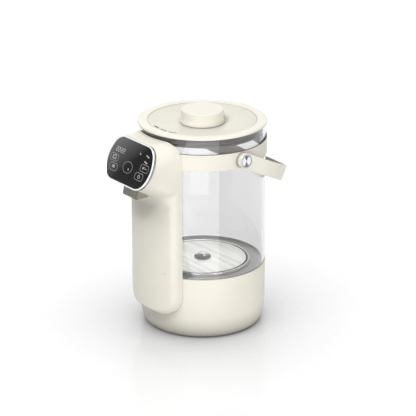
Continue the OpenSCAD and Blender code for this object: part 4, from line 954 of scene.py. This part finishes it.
def column_parts(step=1.0):
    """Skin of the column and head, cut off at the base, the glass and the collar.

    Along each cut a strip leads inwards, so that the skin shows a thick edge."""
    low, size = np.array([-49.5, -129.5, 28.5]), (99, 84, 234)
    axes = [l + np.arange(int(s / step)) * step for l, s in zip(low, size)]
    x, y, z = np.meshgrid(*axes, indexing="ij")
    field = blended(*column_field(x, y, z), step)
    verts, quads = surface_nets(field, low, step)
    slopes = [np.gradient(field, step, axis=k) for k in range(3)]

    def normal_at(points):
        return unit(np.stack([lookup(s, low, step, *points.T) for s in slopes], 1))

    for _ in range(2):
        value = lookup(field, low, step, *verts.T)
        verts = verts - 0.8 * value[:, None] * normal_at(verts)
    tris = np.concatenate([quads[:, [0, 1, 2]], quads[:, [0, 2, 3]]])
    z0, z1 = COLLAR_Z0 - COLLAR_GAP, COLLAR_Z1 + COLLAR_GAP
    for level in (z0, z1):
        verts, tris = clip(verts, tris, verts[:, 2] - level, keep_both=True)
    middle = verts[tris].mean(1)[:, 2]
    at_collar = (middle > z0) & (middle < z1)
    parts = []
    for group, radius in ((at_collar, COLLAR_R + COLLAR_GAP), (~at_collar, BODY_GAP)):
        part, faces = clip(verts, tris[group], np.hypot(verts[:, 0], verts[:, 1]) - radius)
        used, faces = np.unique(faces, return_inverse=True)
        part, faces = part[used], faces.reshape(-1, 3)
        edges = dict.fromkeys((i, j) for a, b, c in faces.tolist()
                              for i, j in ((a, b), (b, c), (c, a)))
        on_cut = np.abs(np.hypot(part[:, 0], part[:, 1]) - radius) < 1e-3
        rim_edges = [(i, j) for i, j in edges if (j, i) not in edges and on_cut[i] and on_cut[j]]
        ids = sorted({i for e in rim_edges for i in e})
        inward, out = normal_at(part[ids]), unit(part[ids] * [1, 1, 0])
        inward -= (inward * out).sum(1)[:, None] * out
        inner = part[ids] - unit(inward) * SKIN_T
        inner[:, :2] *= (radius / np.hypot(inner[:, 0], inner[:, 1]))[:, None]
        spot = {i: len(part) + k for k, i in enumerate(ids)}
        strip = [[j, i, spot[i], spot[j]] for i, j in rim_edges]
        parts.append((np.concatenate([part, inner]), faces.tolist() + strip))
    return parts


piece("column_skin", *joined(column_parts()), cream_column, "cream_plastic", ["column_shell"],
      sharp=40.0)

# Pilot hole low on the column, towards +X: a dark disc, painted shade inside the hole.
verts, faces = lathe(rounded([(AXIS, -0.4, 0), (PILOT_R, -0.4, 0), (PILOT_R, 0.04, 0.02),
                              (AXIS, 0.04, 0)]), 24)
verts = turned(verts, QUARTER, axis=0) + [0, -COL_R, PILOT_Z]
piece("pilot_hole", turned(verts, math.asin(PILOT_X / COL_R)), faces, pilot_shade_look,
      "dark_plastic")


# Stage, lights and camera, in metres
def seen_apart(g, lit, seen, output):
    """Gives the eye, mirrors and glass one shader, and all other light another."""
    camera_ray, glossy_ray, glass_ray = (
        g.node("ShaderNodeLightPath", "Is %s Ray" % kind)
        for kind in ("Camera", "Glossy", "Transmission"))
    either = g.math("MAXIMUM", g.math("MAXIMUM", camera_ray, glossy_ray), glass_ray)
    both = g.node("ShaderNodeMixShader", "Shader", {"Fac": either, 1: lit, 2: seen})
    g.put(g.tree.nodes[output].inputs["Surface"], both)


FLOOR_HALF = 9.0
floor_mesh = bpy.data.meshes.new("floor")
floor_mesh.from_pydata([(*corner, 0) for corner in SQUARE * FLOOR_HALF], [], [(0, 1, 2, 3)])
floor = added("floor", floor_mesh)
ground = material("studio_floor")
ground.dress(Base_Color=(0.80, 0.80, 0.80), Roughness=0.5)
# The floor glows white for the eye and mirrors, darkened near the vessel by a painted shadow
# taken from its openness.
glow_with_painted_shadow = ground.spread(ground.near(0.36), 0.11, 1.0, 0.25, 0.98)
seen = ground.node("ShaderNodeBsdfPrincipled", "BSDF", {
    "Base Color": (0.16, 0.16, 0.16), "Roughness": 0.10, "Specular IOR Level": 0.25,
    "Emission Color": glow_with_painted_shadow, "Emission Strength": 0.865})
seen_apart(ground, ground.shader.outputs["BSDF"], seen, "Material Output")
floor_mesh.materials.append(ground.owner)

air = Graph(bpy.data.worlds.new("studio"), "Background")
bpy.context.scene.world = air.owner
air.dress(Color=(1, 1, 1), Strength=0.129)
backdrop = air.node("ShaderNodeBackground", "Background", {"Color": (0.99, 0.99, 0.99)})
seen_apart(air, air.shader.outputs["Background"], backdrop, "World Output")


def outward(azimuth, elevation=0.0):
    """Direction away from the vessel, by degrees from the front and above the floor."""
    a, e = math.radians(azimuth), math.radians(elevation)
    return Vector((math.sin(a) * math.cos(e), -math.cos(a) * math.cos(e), math.sin(e)))


def aim(thing, target, away):
    """Sets a lamp or the camera at a place seen from its target, looking back at it."""
    thing.location = target + away
    thing.rotation_mode = "QUATERNION"
    thing.rotation_quaternion = (-away).to_track_quat("-Z", "Y")


LAMP_AIM, LAMP_FAR = Vector((0, 0, 0.14)), 1.6
# Azimuth and elevation in degrees, width, height, watts, and which looks don't take its light:
# mirror for shiny ones, glass for what is seen through it, wall for dull ones
LAMPS = {
    "key": (40, 50, 0.3, 0.3, 8.6, ""),
    "top_front": (8, 57, 0.5, 0.5, 9.5, ""),
    "low_right": (88, 6, 0.5, 0.3, 8.2, "mirror"),
    "back_left": (228, 35, 0.5, 0.5, 2.1, "mirror"),
    "back_right": (160, 50, 0.5, 0.5, 1.8, ""),
    "top_back": (233, 56, 0.4, 0.4, 3.2, "mirror"),
    "back_low": (233, 14, 0.5, 0.4, 6.0, "mirror glass"),
    "floor_sheet": (0, 0, 0.70, 0.70, 2.6, "wall"),
}
for name, (azimuth, elevation, width, height, watts, hidden) in LAMPS.items():
    data = bpy.data.lights.new(name, "AREA")
    data.shape = "RECTANGLE"
    data.size, data.size_y, data.energy = width, height, watts
    lamp = added(name, data)
    aim(lamp, LAMP_AIM, outward(azimuth, elevation) * LAMP_FAR)
    lamp.visible_camera = False
    lamp.visible_glossy = "mirror" not in hidden
    lamp.visible_transmission = "glass" not in hidden
    lamp.visible_diffuse = "wall" not in hidden

CAM_AZ, CAM_EL, CAM_FAR, CAM_LENS = 53.0, 20.357, 2.650, 180.45
CAM_AIM = Vector((0.004263, 0.005657, 0.147732))

# This lamp lies on the floor as a bright sheet that only shows in polished things. One side
# of it, on a line that leaves the glass to the right of the camera, shows as the upright line
# in the glass
SHEET_AZ, SHEET_START, SHEET_PAST, SHEET_UP = CAM_AZ + 30.8, 68.4, 0.47, 0.002
sheet = bpy.data.objects["floor_sheet"]
along = outward(SHEET_AZ)
across = Vector((along.y, -along.x, 0))
sheet.location = (outward(SHEET_START) * GLASS_R * MM + along * SHEET_PAST
                  + across * sheet.data.size / 2 + Vector((0, 0, SHEET_UP)))
sheet.rotation_mode = "XYZ"
sheet.rotation_euler = (math.pi, 0, math.atan2(along.y, along.x))

camera = added("camera", bpy.data.cameras.new("camera"))
camera.data.sensor_width, camera.data.lens = 36.0, CAM_LENS
camera.data.clip_start, camera.data.clip_end = 0.05, 60.0
aim(camera, CAM_AIM, outward(CAM_AZ, CAM_EL) * CAM_FAR)
bpy.context.scene.camera = camera
bpy.context.scene.view_settings.view_transform = "Standard"
